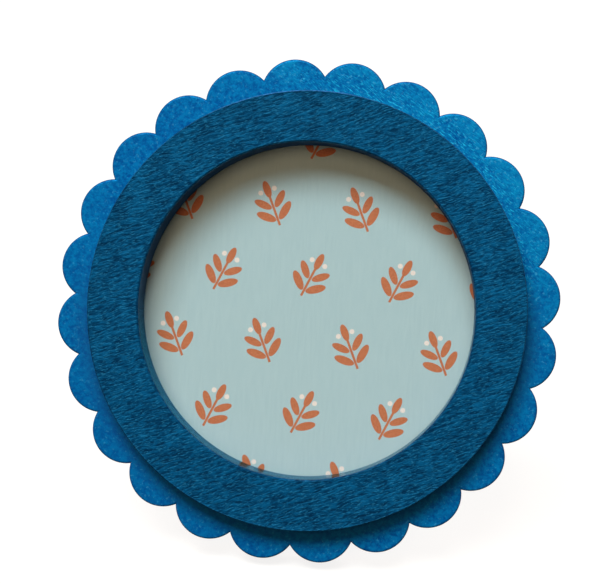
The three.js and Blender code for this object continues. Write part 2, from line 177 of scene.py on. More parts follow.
class Bench:
    """Hand moves in object and edit mode that the pieces are made with."""

    SHARP = math.radians(30)
    DOME_STEPS = 8

    @staticmethod
    def clear() -> None:
        """Leave edit mode and let go of everything."""
        active = bpy.context.view_layer.objects.active
        if active is not None and active.mode != "OBJECT":
            bpy.ops.object.mode_set(mode="OBJECT")
        bpy.ops.object.select_all(action="DESELECT")

    @staticmethod
    def take(obj: bpy.types.Object) -> None:
        """Select one object alone and make it active."""
        Bench.clear()
        obj.select_set(True)
        bpy.context.view_layer.objects.active = obj

    @staticmethod
    def named(name: str) -> bpy.types.Object:
        """Give the object just added its name."""
        obj = bpy.context.view_layer.objects.active
        obj.name = name
        obj.data.name = name
        return obj

    @staticmethod
    @contextmanager
    def editing(obj: bpy.types.Object, mode: Pick = Pick.VERTS) -> Iterator[None]:
        """Work on an object in edit mode.

        Args:
            obj: the object.
            mode: what is selected there.

        Returns:
            A context that ends in object mode.
        """
        Bench.take(obj)
        bpy.ops.object.mode_set(mode="EDIT")
        bpy.ops.mesh.select_mode(type=mode.value)
        yield
        bpy.ops.object.mode_set(mode="OBJECT")

    @staticmethod
    def select(obj: bpy.types.Object, kind: Pick, test: Callable[[Vector], bool]) -> None:
        """Select in edit mode the corners that pass a test, or the edges whose ends both pass it.

        Args:
            obj: the object in edit mode.
            kind: corners or edges.
            test: takes a corner's place.
        """
        bpy.ops.mesh.select_mode(type=kind.value)
        bpy.ops.mesh.select_all(action="DESELECT")
        mesh = bmesh.from_edit_mesh(obj.data)
        passed = {corner for corner in mesh.verts if test(corner.co)}
        edges = [edge for edge in mesh.edges if passed.issuperset(edge.verts)]
        for element in passed if kind is Pick.VERTS else edges:
            element.select_set(True)
        mesh.select_flush_mode()
        bmesh.update_edit_mesh(obj.data)

    @staticmethod
    def step(move: Point) -> None:
        """Draw the selected corners out by a move."""
        bpy.ops.mesh.extrude_region_move(TRANSFORM_OT_translate={"value": move})

    @staticmethod
    def slice(place: Point, normal: Point, **settings: bool) -> None:
        """Cut the whole mesh in edit mode along a plane.

        Args:
            place: a point of the plane.
            normal: its normal.
            settings: what the cut clears or fills.
        """
        bpy.ops.mesh.select_all(action="SELECT")
        bpy.ops.mesh.bisect(plane_co=place, plane_no=normal, threshold=CUT_NEAR, **settings)

    @staticmethod
    def join() -> None:
        """Join doubled corners of the mesh in edit mode."""
        bpy.ops.mesh.select_all(action="SELECT")
        bpy.ops.mesh.remove_doubles(threshold=NEAR)

    @staticmethod
    def tidy() -> None:
        """Join doubled corners of the mesh in edit mode and turn its faces outwards."""
        Bench.join()
        bpy.ops.mesh.normals_make_consistent(inside=False)

    @staticmethod
    def round_level(obj: bpy.types.Object, level: float, width: float, steps: int) -> None:
        """Round in edit mode the edges that lie at one height.

        Args:
            obj: the object in edit mode.
            level: the height.
            width: how far the rounding reaches from the edge.
            steps: facets across it.
        """
        Bench.select(obj, Pick.EDGES, lambda p: close(p.z, level))
        bpy.ops.mesh.bevel(offset=width, segments=steps, profile=HALF, affect="EDGES")

    @staticmethod
    def seed(name: str, place: Point) -> bpy.types.Object:
        """Start a mesh as a single corner.

        Args:
            name: the object's name.
            place: where the corner is.

        Returns:
            The object.
        """
        Bench.clear()
        bpy.ops.mesh.primitive_plane_add(size=MM, location=(0, 0, 0))
        obj = Bench.named(name)
        with Bench.editing(obj):
            bpy.ops.mesh.select_all(action="SELECT")
            bpy.ops.mesh.merge(type="CENTER")
            bpy.ops.transform.translate(value=place)
        return obj

    @staticmethod
    def trace(name: str, path: Sequence[Point]) -> bpy.types.Object:
        """Draw a line through points.

        Args:
            name: the object's name.
            path: the points in order.

        Returns:
            The object, with one edge between each two points.
        """
        obj = Bench.seed(name, path[0])
        with Bench.editing(obj):
            bpy.ops.mesh.select_all(action="SELECT")
            for before, after in zip(path, path[1:]):
                Bench.step(tuple(b - a for a, b in zip(before, after)))
        return obj

    @staticmethod
    def turned(name: str, profile: Sequence[Pair], steps: int, copies: int = 1) -> bpy.types.Object:
        """Turn a closed body about Z.

        Args:
            name: the object's name.
            profile: radius and height of each corner.
            steps: facets round the axis.
            copies: equal wedges that the turn is made of.

        Returns:
            The object.
        """
        obj = Bench.trace(name, [(radius, 0.0, height) for radius, height in profile])
        turn = 2 * math.pi / copies
        with Bench.editing(obj):
            bpy.ops.mesh.select_all(action="SELECT")
            bpy.ops.mesh.spin(steps=steps // copies, angle=turn, center=(0, 0, 0), axis=(0, 0, 1))
            if copies > 1:
                Bench.ranged(copies)
            Bench.tidy()
        return obj

    @staticmethod
    def ranged(copies: int) -> None:
        """Range copies of the mesh in edit mode evenly about Z.

        Args:
            copies: how many there are with the first.
        """
        bpy.ops.mesh.select_all(action="SELECT")
        turn = 2 * math.pi * (copies - 1) / copies
        bpy.ops.mesh.spin(steps=copies - 1, dupli=True, angle=turn, center=(0, 0, 0), axis=(0, 0, 1))

    @staticmethod
    def cut(obj: bpy.types.Object, cutter: bpy.types.Object) -> None:
        """Cut one object away from another and drop the cutter.

        Args:
            obj: the object that stays.
            cutter: the object that is cut away.
        """
        Bench.take(obj)
        modifier = obj.modifiers.new("cut", "BOOLEAN")
        modifier.operation = "DIFFERENCE"
        modifier.solver = "EXACT"
        modifier.object = cutter
        bpy.ops.object.modifier_apply(modifier="cut")
        Bench.drop(cutter)

    @staticmethod
    def drop(obj: bpy.types.Object) -> None:
        """Delete a helper and its mesh."""
        mesh = obj.data
        bpy.data.objects.remove(obj, do_unlink=True)
        if isinstance(mesh, bpy.types.Mesh):
            bpy.data.meshes.remove(mesh)

    @staticmethod
    def round_edges(obj: bpy.types.Object, width: float, steps: int, angle: float) -> None:
        """Round the sharp edges of an object.

        Args:
            obj: the object.
            width: how far the rounding reaches from the edge.
            steps: facets across it.
            angle: the least angle of a sharp edge, in degrees.
        """
        Bench.take(obj)
        modifier = obj.modifiers.new("round", "BEVEL")
        modifier.width = width
        modifier.segments = steps
        modifier.limit_method = "ANGLE"
        modifier.angle_limit = math.radians(angle)
        modifier.use_clamp_overlap = True
        bpy.ops.object.modifier_apply(modifier="round")

    @staticmethod
    def thicken(obj: bpy.types.Object, thickness: float) -> None:
        """Give a sheet its thickness, half of it to each side.

        Args:
            obj: the sheet.
            thickness: how thick it becomes.
        """
        Bench.take(obj)
        modifier = obj.modifiers.new("thickness", "SOLIDIFY")
        modifier.thickness = thickness
        modifier.offset = 0.0
        modifier.use_even_offset = True
        bpy.ops.object.modifier_apply(modifier="thickness")

    @staticmethod
    def copy(obj: bpy.types.Object, name: str) -> bpy.types.Object:
        """Copy an object with a mesh of its own."""
        Bench.take(obj)
        bpy.ops.object.duplicate(linked=False)
        return Bench.named(name)

    @staticmethod
    def settle(obj: bpy.types.Object, matrix: Matrix) -> None:
        """Put a piece in its place, in its mesh, smooth its round faces and keep its flat ones flat.

        Args:
            obj: the piece on the bench.
            matrix: the move to the row frame.
        """
        Bench.take(obj)
        obj.matrix_world = matrix @ obj.matrix_world
        bpy.ops.object.transform_apply(location=True, rotation=True, scale=True)
        bpy.ops.object.shade_smooth_by_angle(angle=Bench.SHARP)
        modifier = obj.modifiers.new("flats", "WEIGHTED_NORMAL")
        modifier.keep_sharp = True
        bpy.ops.object.modifier_apply(modifier="flats")

    @staticmethod
    def arc(centre: Pair, radius: float, start: float, end: float, steps: int) -> list[Pair]:
        """Give points on an arc.

        Args:
            centre: the middle of the arc.
            radius: its radius.
            start: its first angle in degrees.
            end: its last angle in degrees.
            steps: parts between the two ends.

        Returns:
            The points in order.
        """
        points = []
        for i in range(steps + 1):
            angle = math.radians(start + (end - start) * i / steps)
            points.append((centre[0] + radius * math.cos(angle), centre[1] + radius * math.sin(angle)))
        return points

    @staticmethod
    def dome(radius: float, low: float, high: float) -> list[Pair]:
        """Give the section of a domed head, from its rim to its top.

        Args:
            radius: its radius.
            low: height of its rim.
            high: height of its top.

        Returns:
            Radius and height of each corner.
        """
        turns = [math.pi / 2 * i / Bench.DOME_STEPS for i in range(Bench.DOME_STEPS)]
        rise = [(radius * math.cos(turn), low + (high - low) * math.sin(turn)) for turn in turns]
        return [*rise, (0, high)]


class NodeDesk:
    """Places shader nodes in a tree and joins their sockets."""

    def __init__(self, tree: bpy.types.NodeTree) -> None:
        """Keep the tree that nodes go in."""
        self.tree = tree

    def add(self, kind: str, **settings: object) -> bpy.types.Node:
        """Add a node and set its properties.

        Args:
            kind: the node's type.
            settings: its properties.

        Returns:
            The node.
        """
        node = self.tree.nodes.new(kind)
        for name, value in settings.items():
            setattr(node, name, value)
        return node

    def feed(self, socket: Socket, source: Source) -> None:
        """Join an input to a source, or set it to a value.

        Args:
            socket: the input.
            source: an output socket or a plain value.
        """
        if isinstance(source, Socket):
            self.tree.links.new(source, socket)
        else:
            socket.default_value = source

    def math(self, operation: str, *sources: Source) -> Socket:
        """Work out a value with a Math node.

        Args:
            operation: the node's operation.
            sources: its inputs in order.

        Returns:
            The value's socket.
        """
        node = self.add("ShaderNodeMath", operation=operation)
        for socket, source in zip(node.inputs, sources):
            self.feed(socket, source)
        return node.outputs["Value"]

    def product(self, first: Source, *others: Source) -> Source:
        """Multiply values.

        Args:
            first: the first value.
            others: what it is multiplied by.

        Returns:
            The product's socket.
        """
        for other in others:
            first = self.math("MULTIPLY", first, other)
        return first

    def total(self, start: Source, *terms: tuple[Source, float]) -> Source:
        """Add masks to a value.

        Args:
            start: the value.
            terms: each mask and what it adds where it is 1.

        Returns:
            The total's socket.
        """
        for mask, change in terms:
            start = self.math("MULTIPLY_ADD", mask, change, start)
        return start

    def inverse(self, value: Source) -> Socket:
        """Take a value from 1."""
        return self.math("SUBTRACT", 1.0, value)

    def clamped(self, value: Source) -> Socket:
        """Keep a value between 0 and 1."""
        node = self.add("ShaderNodeClamp")
        self.feed(node.inputs["Value"], value)
        return node.outputs["Result"]

    def mapped(self, value: Source, span: Span, result: Span = RISING) -> Socket:
        """Map a span of a value smoothly to another.

        Args:
            value: the value.
            span: start and end of its span.
            result: what the start and the end become.

        Returns:
            The mapped value's socket.
        """
        node = self.add("ShaderNodeMapRange", interpolation_type="SMOOTHSTEP")
        names = ("Value", "From Min", "From Max", "To Min", "To Max")
        for name, source in zip(names, (value, *span, *result)):
            self.feed(node.inputs[name], source)
        return node.outputs["Result"]

    def parts(self, vector: Socket) -> tuple[Socket, ...]:
        """Give the three parts of a vector."""
        node = self.add("ShaderNodeSeparateXYZ")
        self.feed(node.inputs["Vector"], vector)
        return tuple(node.outputs)

    def length(self, vector: Socket) -> Socket:
        """Give the length of a vector."""
        node = self.add("ShaderNodeVectorMath", operation="LENGTH")
        self.feed(node.inputs[0], vector)
        return node.outputs["Value"]

    def along(self, vector: Socket, way: Sequence[float]) -> Socket:
        """Give how far a vector runs along a direction.

        Args:
            vector: the vector.
            way: the direction, of length 1.

        Returns:
            The socket of that length.
        """
        node = self.add("ShaderNodeVectorMath", operation="DOT_PRODUCT")
        self.feed(node.inputs[0], vector)
        node.inputs[1].default_value = way
        return node.outputs["Value"]

    def stretched(self, vector: Socket, shares: Point) -> Socket:
        """Multiply each part of a vector by its own share.

        Args:
            vector: the vector.
            shares: the three shares.

        Returns:
            The new vector's socket.
        """
        node = self.add("ShaderNodeVectorMath", operation="MULTIPLY")
        self.feed(node.inputs[0], vector)
        node.inputs[1].default_value = shares
        return node.outputs["Vector"]

    def blend(self, share: Source, first: Source, second: Source) -> Socket:
        """Mix two colours.

        Args:
            share: how much of the second shows.
            first: the first colour.
            second: the second colour.

        Returns:
            The colour's socket.
        """
        node = self.add("ShaderNodeMix", data_type="RGBA")
        colours = [socket for socket in node.inputs if socket.type == "RGBA"]
        self.feed(node.inputs[0], share)
        self.feed(colours[0], first)
        self.feed(colours[1], second)
        return next(socket for socket in node.outputs if socket.type == "RGBA")

    def noise(
        self, place: Source, scale: float, detail: float = 2.0, rough: float = 0.5, twist: float = 0.0
    ) -> Socket:
        """Give a noise value.

        Args:
            place: where it is read.
            scale: features in each unit of length.
            detail: finer layers.
            rough: how strong they are.
            twist: how much the place is distorted.

        Returns:
            The noise's socket, about 0.5 in the middle.
        """
        node = self.add("ShaderNodeTexNoise")
        values = {"Vector": place, "Scale": scale, "Detail": detail, "Roughness": rough, "Distortion": twist}
        for name, source in values.items():
            self.feed(node.inputs[name], source)
        return node.outputs["Fac"]

    def group(self, tree: bpy.types.NodeTree, **sources: Source) -> bpy.types.Node:
        """Place a node group and feed its inputs by name.

        Args:
            tree: the group.
            sources: its inputs.

        Returns:
            The group node.
        """
        node = self.add("ShaderNodeGroup", node_tree=tree)
        for name, source in sources.items():
            self.feed(node.inputs[name], source)
        return node


class Effects:
    """Node groups that several finishes share, each built once. Places in them are in millimetres."""

    WANDER = 1.4
    SHORT_SHARE = 0.72
    LONG_SHARE = 0.28
    LONG_STRETCH: Point = (0.3, 0.8, 1.0)
    STREAK_SPAN: Pair = (0.33, 0.67)
    TICK_SPAN: Pair = (0.55, 0.7)
    CLOUD_SPAN: Pair = (0.3, 0.7)
    SPECK_SPAN: Pair = (0.6, 0.78)
    PATCH_SPAN: Pair = (0.35, 0.65)
    PATCH_WEAR: Pair = (0.25, 1.0)

    @staticmethod
    def _group(name: str, takes: Sockets, gives: Sockets) -> tuple[NodeDesk, bpy.types.Node, bpy.types.Node]:
        """Start a group with its sockets.

        Args:
            name: the group's name.
            takes: name and kind of each input.
            gives: name and kind of each output.

        Returns:
            A desk on the group, its input node and its output node.
        """
        tree = bpy.data.node_groups.new(name, "ShaderNodeTree")
        for side, sockets in (("INPUT", takes), ("OUTPUT", gives)):
            for label, kind in sockets.items():
                tree.interface.new_socket(name=label, in_out=side, socket_type="NodeSocket" + kind)
        desk = NodeDesk(tree)
        return desk, desk.add("NodeGroupInput"), desk.add("NodeGroupOutput")

    @staticmethod
    @cache
    def bench_place() -> bpy.types.NodeTree:
        """Give the group for the place on the bench axes."""
        desk, _, end = Effects._group("bench_place", {}, {"Place": "Vector"})
        coords = desk.add("ShaderNodeTexCoord")
        mapping = desk.add("ShaderNodeMapping", vector_type="TEXTURE")
        mapping.inputs["Location"].default_value = FACE.centre()
        mapping.inputs["Rotation"].default_value = (math.pi / 2 - FACE.lean, 0, 0)
        mapping.inputs["Scale"].default_value = (MM, MM, MM)
        desk.feed(mapping.inputs["Vector"], coords.outputs["Object"])
        desk.feed(end.inputs["Place"], mapping.outputs["Vector"])
        return desk.tree

    @staticmethod
    @cache
    def face_share() -> bpy.types.NodeTree:
        """Give the group for how far a surface turns away from the face of the frame."""
        desk, start, end = Effects._group(
            "face_share", {"Low": "Float", "High": "Float"}, {"Away": "Float"}
        )
        coords = desk.add("ShaderNodeTexCoord")
        facing = desk.math("ABSOLUTE", desk.along(coords.outputs["Normal"], FACE.normal()))
        away = desk.mapped(facing, (start.outputs["Low"], start.outputs["High"]), FALLING)
        desk.feed(end.inputs["Away"], away)
        return desk.tree

    @staticmethod
    @cache
    def streaks() -> bpy.types.NodeTree:
        """Give the group for short streaks that all run one way."""
        desk, start, end = Effects._group(
            "streaks",
            {"Place": "Vector", "Angle": "Float", "Length": "Float", "Width": "Float"},
            {"Streak": "Float", "Tick": "Float", "Blotch": "Float"},
        )
        place = start.outputs["Place"]
        turn = desk.add("ShaderNodeVectorRotate", rotation_type="Z_AXIS")
        desk.feed(turn.inputs["Vector"], place)
        desk.feed(turn.inputs["Angle"], desk.product(start.outputs["Angle"], -1.0))
        along, across, height = desk.parts(turn.outputs["Vector"])
        wander = desk.math("SUBTRACT", desk.noise(place, scale=0.14, detail=1.0), HALF)
        bent = desk.total(across, (wander, Effects.WANDER))
        whole = desk.add("ShaderNodeCombineXYZ")
        desk.feed(whole.inputs["X"], desk.math("DIVIDE", along, start.outputs["Length"]))
        desk.feed(whole.inputs["Y"], desk.math("DIVIDE", bent, start.outputs["Width"]))
        desk.feed(whole.inputs["Z"], height)
        drawn = whole.outputs["Vector"]
        short = desk.noise(drawn, scale=1.0, rough=0.55, twist=0.2)
        long = desk.noise(desk.stretched(drawn, Effects.LONG_STRETCH), scale=1.0, detail=1.0, twist=0.1)
        streak = desk.total(desk.product(long, Effects.LONG_SHARE), (short, Effects.SHORT_SHARE))
        tick = desk.noise(drawn, scale=1.9, detail=1.0, twist=0.1)
        blotch = desk.noise(place, scale=0.16, detail=3.0, rough=0.6)
        desk.feed(end.inputs["Streak"], desk.mapped(streak, Effects.STREAK_SPAN))
        desk.feed(end.inputs["Tick"], desk.mapped(tick, Effects.TICK_SPAN))
        desk.feed(end.inputs["Blotch"], desk.mapped(blotch, Effects.CLOUD_SPAN))
        return desk.tree

    @staticmethod
    @cache
    def speckle() -> bpy.types.NodeTree:
        """Give the group for fine mottling with bright specks."""
        desk, start, end = Effects._group(
            "speckle",
            {"Place": "Vector", "Size": "Float"},
            {"Mottle": "Float", "Speck": "Float", "Cloud": "Float"},
        )
        small = desk.add("ShaderNodeVectorMath", operation="SCALE")
        desk.feed(small.inputs["Vector"], start.outputs["Place"])
        desk.feed(small.inputs["Scale"], desk.math("DIVIDE", 1.0, start.outputs["Size"]))
        place = small.outputs["Vector"]
        mottle = desk.noise(place, scale=1.0, detail=3.0, rough=0.65)
        speck = desk.noise(place, scale=1.7, detail=1.0, twist=0.3)
        cloud = desk.noise(place, scale=0.09)
        desk.feed(end.inputs["Mottle"], desk.mapped(mottle, Effects.CLOUD_SPAN))
        desk.feed(end.inputs["Speck"], desk.mapped(speck, Effects.SPECK_SPAN))
        desk.feed(end.inputs["Cloud"], desk.mapped(cloud, Effects.CLOUD_SPAN))
        return desk.tree

    @staticmethod
    @cache
    def worn_edge() -> bpy.types.NodeTree:
        """Give the group for outer edges that are rubbed in patches."""
        desk, start, end = Effects._group(
            "worn_edge", {"Place": "Vector", "Low": "Float", "High": "Float"}, {"Wear": "Float"}
        )
        shape = desk.add("ShaderNodeNewGeometry")
        edge = desk.mapped(shape.outputs["Pointiness"], (start.outputs["Low"], start.outputs["High"]))
        patch = desk.noise(start.outputs["Place"], scale=0.7, detail=3.0, rough=0.6)
        patch = desk.mapped(patch, Effects.PATCH_SPAN, Effects.PATCH_WEAR)
        desk.feed(end.inputs["Wear"], desk.product(edge, patch))
        return desk.tree


class Finish:
    """Start of a finish: a material with one main shader and the place on the bench axes."""

    def __init__(self, name: str) -> None:
        """Make the material.

        Args:
            name: the material's name.
        """
        self.material = bpy.data.materials.new(name)
        self.material.use_nodes = True
        self.desk = NodeDesk(self.material.node_tree)
        self.shader = self.material.node_tree.nodes["Principled BSDF"]
        self.place = self.desk.group(Effects.bench_place()).outputs["Place"]

    def set(self, **values: Source) -> None:
        """Feed sockets of the main shader by name, with underscores for spaces."""
        for name, source in values.items():
            self.desk.feed(self.shader.inputs[name.replace("_", " ")], source)

    def bump(self, height: Source, strength: float, distance: float) -> None:
        """Raise the surface by a height.

        Args:
            height: the height from 0 to 1.
            strength: how much of it shows.
            distance: its full depth in metres.
        """
        node = self.desk.add("ShaderNodeBump")
        node.inputs["Strength"].default_value = strength
        node.inputs["Distance"].default_value = distance
        self.desk.feed(node.inputs["Height"], height)
        self.desk.feed(self.shader.inputs["Normal"], node.outputs["Normal"])

    def streaked(self, angle: float, length: float, width: float) -> Mapping[str, Socket]:
        """Draw streaks on the surface.

        Args:
            angle: the way that they run, from the right of the face.
            length: their length in millimetres.
            width: their width in millimetres.

        Returns:
            The sockets Streak, Tick and Blotch.
        """
        return self.desk.group(
            Effects.streaks(), Place=self.place, Angle=angle, Length=length, Width=width
        ).outputs

    def speckled(self, size: float) -> Mapping[str, Socket]:
        """Give the sockets Mottle, Speck and Cloud of specks of a size in millimetres."""
        return self.desk.group(Effects.speckle(), Place=self.place, Size=size).outputs

    def turned(self, span: Pair) -> Socket:
        """Mask what turns away from the face, from 1 at the low cosine to 0 at the high one."""
        return self.desk.group(Effects.face_share(), Low=span[0], High=span[1]).outputs["Away"]

    def worn(self, span: Pair) -> Socket:
        """Mask worn outer edges, from 0 at the low sharpness to 1 at the high one."""
        group = self.desk.group(Effects.worn_edge(), Place=self.place, Low=span[0], High=span[1])
        return group.outputs["Wear"]


@dataclass(frozen=True)
class GrainedResin:
    """Satin teal resin with a moulded grain of short streaks, in millimetres.

    The top of its outer rim is painted paler in worn patches, as a painted highlight. The wall of its window
    is matt above and polished below.
    """

    dark: Colour = srgb(2, 36, 67)
    middle: Colour = srgb(3, 63, 101)
    light: Colour = srgb(8, 86, 128)
    tick: Colour = srgb(36, 115, 152)
    # paler blue of the worn top of the outer rim, a painted highlight
    rubbed: Colour = srgb(70, 146, 220)
    wall: Colour = srgb(4, 48, 82)
    gloss: Colour = (0.04, 0.5, 0.8, 1.0)
    gloss_level: float = 0.4
    length: float = 2.4
    width: float = 0.74
    blotch_share: float = 0.36
    light_share: float = 0.85
    tick_share: float = 0.5
    comb_share: float = 0.5
    rim_turn: Pair = (0.8, 0.955)
    side_turn: Pair = (0.1, 0.45)
    wear_edge: Pair = (0.5, 0.52)
    outer_side: Pair = (56.0, 62.0)
    # painted highlight on the top of the outer rim
    highlight_bearing: float = math.radians(98)
    highlight_reach: Pair = (58.5, 64.5)
    highlight_share: Pair = (0.03, 0.5)
    polish_height: Pair = (-15.0, 30.0)
    polish_metal: float = 0.95
    rough: float = 0.52
    rough_rim: float = -0.16
    rough_bore: float = 0.5
    rough_polish: float = -0.7
    rough_streak: float = -0.12
    rough_outer: float = 0.45
    bump_tick: float = 0.5
    bump_strength: float = 0.5
    bump_depth: float = 0.25 * MM

    def material(self) -> bpy.types.Material:
        """Build the material."""
        finish = Finish("grained_teal_resin")
        desk = finish.desk
        grain = finish.streaked(GRAIN_ANGLE, self.length, self.width)
        streak = grain["Streak"]
        blotch = grain["Blotch"]
        tick = grain["Tick"]
        patch = desk.total(-HALF * self.blotch_share, (blotch, self.blotch_share))
        base = desk.blend(desk.clamped(desk.math("ADD", streak, patch)), self.dark, self.middle)
        base = desk.blend(desk.product(streak, blotch, self.light_share), base, self.light)
        base = desk.blend(desk.product(tick, self.tick_share), base, self.tick)
        turned = finish.turned(self.rim_turn)
        sides = finish.turned(self.side_turn)
        level = desk.inverse(turned)
        outside = desk.mapped(desk.length(finish.place), self.outer_side)
        rim = desk.clamped(desk.math("SUBTRACT", turned, sides))
        # Worn patches on the rounded outer rim are painted paler towards its top, as a painted highlight.
        crown = desk.along(finish.place, bearing_way(self.highlight_bearing))
        top_highlight = desk.mapped(crown, self.highlight_reach, self.highlight_share)
        wear_and_highlight = desk.product(rim, outside, finish.worn(self.wear_edge), top_highlight)
        base = desk.blend(wear_and_highlight, base, self.rubbed)
        combed = desk.product(streak, outside, self.comb_share)
        base = desk.blend(sides, base, desk.blend(combed, self.wall, self.light))
        _, height, _ = desk.parts(finish.place)
        bore = desk.product(sides, desk.inverse(outside))
        polished = desk.product(bore, desk.mapped(height, self.polish_height, FALLING))
        rough = desk.total(
            self.rough,
            (turned, self.rough_rim),
            (bore, self.rough_bore),
            (polished, self.rough_polish),
            (desk.product(streak, level), self.rough_streak),
            (desk.product(turned, outside), self.rough_outer),
        )
        finish.set(Base_Color=base, Roughness=rough, Metallic=desk.product(polished, self.polish_metal))
        finish.set(Specular_IOR_Level=self.gloss_level, Specular_Tint=self.gloss)
        relief = desk.product(desk.total(streak, (tick, self.bump_tick)), level)
        finish.bump(relief, self.bump_strength, self.bump_depth)
        return finish.material


@dataclass(frozen=True)
class PearlResin:
    """Blue pearl paint on smooth resin, mottled with fine bright flakes, in millimetres.

    It is paler and more flaked towards the upper right, partly pearl tone and partly painted sheen, with
    glinting strokes near the ring there as painted highlights, and darker towards the lower left. A painted
    shade darkens the corner below the ring, and it is darker along its turned edges.
    """

    deep: Colour = srgb(1, 70, 134)
    middle: Colour = srgb(5, 109, 168)
    pale: Colour = srgb(10, 141, 192)
    flake: Colour = srgb(86, 194, 228)
    # painted highlight: the bright glints in the strokes
    glint: Colour = srgb(34, 182, 220)
    # painted shade for the corner below the ring
    painted_shade: Colour = srgb(20, 68, 120)
    edge: Colour = srgb(5, 74, 128)
    edge_light: Colour = srgb(9, 100, 156)
    gloss: Colour = (0.03, 0.5, 0.9, 1.0)
    gloss_level: float = 0.5
    metal: float = 0.15
    size: float = 1.3
    # direction in which the plate is painted paler, partly pearl tone and partly painted sheen
    bright_bearing: float = math.radians(56)
    dark_reach: Pair = (-70.0, -45.0)
    dark_share: Pair = (0.35, 0.0)
    bright_reach: Pair = (25.0, 72.0)
    bright_share: Pair = (0.25, 1.0)
    pale_share: float = 0.4
    flake_share: float = 0.14
    flake_bright: float = 0.25
    front_depth: Pair = (-12.0, -9.0)
    # painted shade: a darker band on the front beside the ring, below its middle
    shade_reach: Pair = (66.0, 74.0)
    shade_share: Pair = (0.6, 0.0)
    shade_height: Pair = (-10.0, 20.0)
    brush_angle: float = math.radians(-34)
    brush_length: float = 3.2
    brush_width: float = 0.6
    glint_span: Pair = (40.0, 66.0)
    brush_reach: Pair = (67.0, 74.0)
    brush_share: Pair = (0.9, 0.3)
    gap_share: float = 0.55
    edge_turn: Pair = (0.72, 0.97)
    rough: float = 0.52
    rough_mottle: float = -0.15
    rough_edge: float = 0.3
    bump_strength: float = 0.25
    bump_depth: float = 0.12 * MM

    def material(self) -> bpy.types.Material:
        """Build the material."""
        finish = Finish("pearl_blue_resin")
        desk = finish.desk
        fine = finish.speckled(self.size)
        mottle = fine["Mottle"]
        brightward = desk.along(finish.place, bearing_way(self.bright_bearing))
        reach = desk.length(finish.place)
        _, height, depth = desk.parts(finish.place)
        base = desk.blend(mottle, self.deep, self.middle)
        # Darker towards the lower left. Paler and more flaked towards the upper right, where the paleness is
        # partly a painted sheen.
        base = desk.blend(desk.mapped(brightward, self.dark_reach, self.dark_share), base, self.deep)
        bright_side = desk.mapped(brightward, self.bright_reach, self.bright_share)
        cloud = desk.math("ADD", fine["Cloud"], mottle)
        base = desk.blend(desk.product(cloud, bright_side, self.pale_share), base, self.pale)
        flakes = desk.total(self.flake_share, (bright_side, self.flake_bright))
        base = desk.blend(desk.product(fine["Speck"], flakes), base, self.flake)
        front = desk.mapped(depth, self.front_depth)
        # Painted shade: the band of the front next to the ring, below its middle, is darkened.
        corner = desk.mapped(reach, self.shade_reach, self.shade_share)
        below = desk.mapped(height, self.shade_height, FALLING)
        base = desk.blend(desk.product(corner, front, below), base, self.painted_shade)
        # Strokes near the ring towards the upper right: darker streaks between them, and their bright ticks
        # are painted highlights.
        strokes = finish.streaked(self.brush_angle, self.brush_length, self.brush_width)
        inward = desk.mapped(reach, self.brush_reach, self.brush_share)
        glint_zone = desk.product(desk.mapped(brightward, self.glint_span), front, inward)
        gaps = desk.product(desk.inverse(strokes["Streak"]), glint_zone, self.gap_share)
        base = desk.blend(gaps, base, self.deep)
        base = desk.blend(desk.product(strokes["Tick"], glint_zone), base, self.glint)
        away = finish.turned(self.edge_turn)
        base = desk.blend(away, base, desk.blend(mottle, self.edge, self.edge_light))
        rough = desk.total(self.rough, (mottle, self.rough_mottle), (away, self.rough_edge))
        finish.set(Base_Color=base, Roughness=rough, Metallic=self.metal)
        finish.set(Specular_IOR_Level=self.gloss_level, Specular_Tint=self.gloss)
        finish.bump(mottle, self.bump_strength, self.bump_depth)
        return finish.material


@dataclass(frozen=True)
class ClearGlass:
    """Clear float glass with a faint green tint and a little haze."""

    tint: Colour = (0.97, 0.99, 0.985, 1.0)
    refraction: float = 1.45
    haze_span: Pair = (0.35, 0.75)
    haze_rough: Pair = (0.0, 0.03)

    def material(self) -> bpy.types.Material:
        """Build the material."""
        finish = Finish("clear_glass")
        haze = finish.desk.noise(finish.place, scale=0.15, detail=3.0, rough=0.6)
        finish.set(Base_Color=self.tint, Transmission_Weight=1.0, IOR=self.refraction, Metallic=0.0)
        finish.set(Roughness=finish.desk.mapped(haze, self.haze_span, self.haze_rough))
        return finish.material


@dataclass(frozen=True)
class Oval:
    """Oval of a printed sprig: its middle and half axes in millimetres, its lean in degrees."""

    middle: Pair
    lean: float
    half: Pair


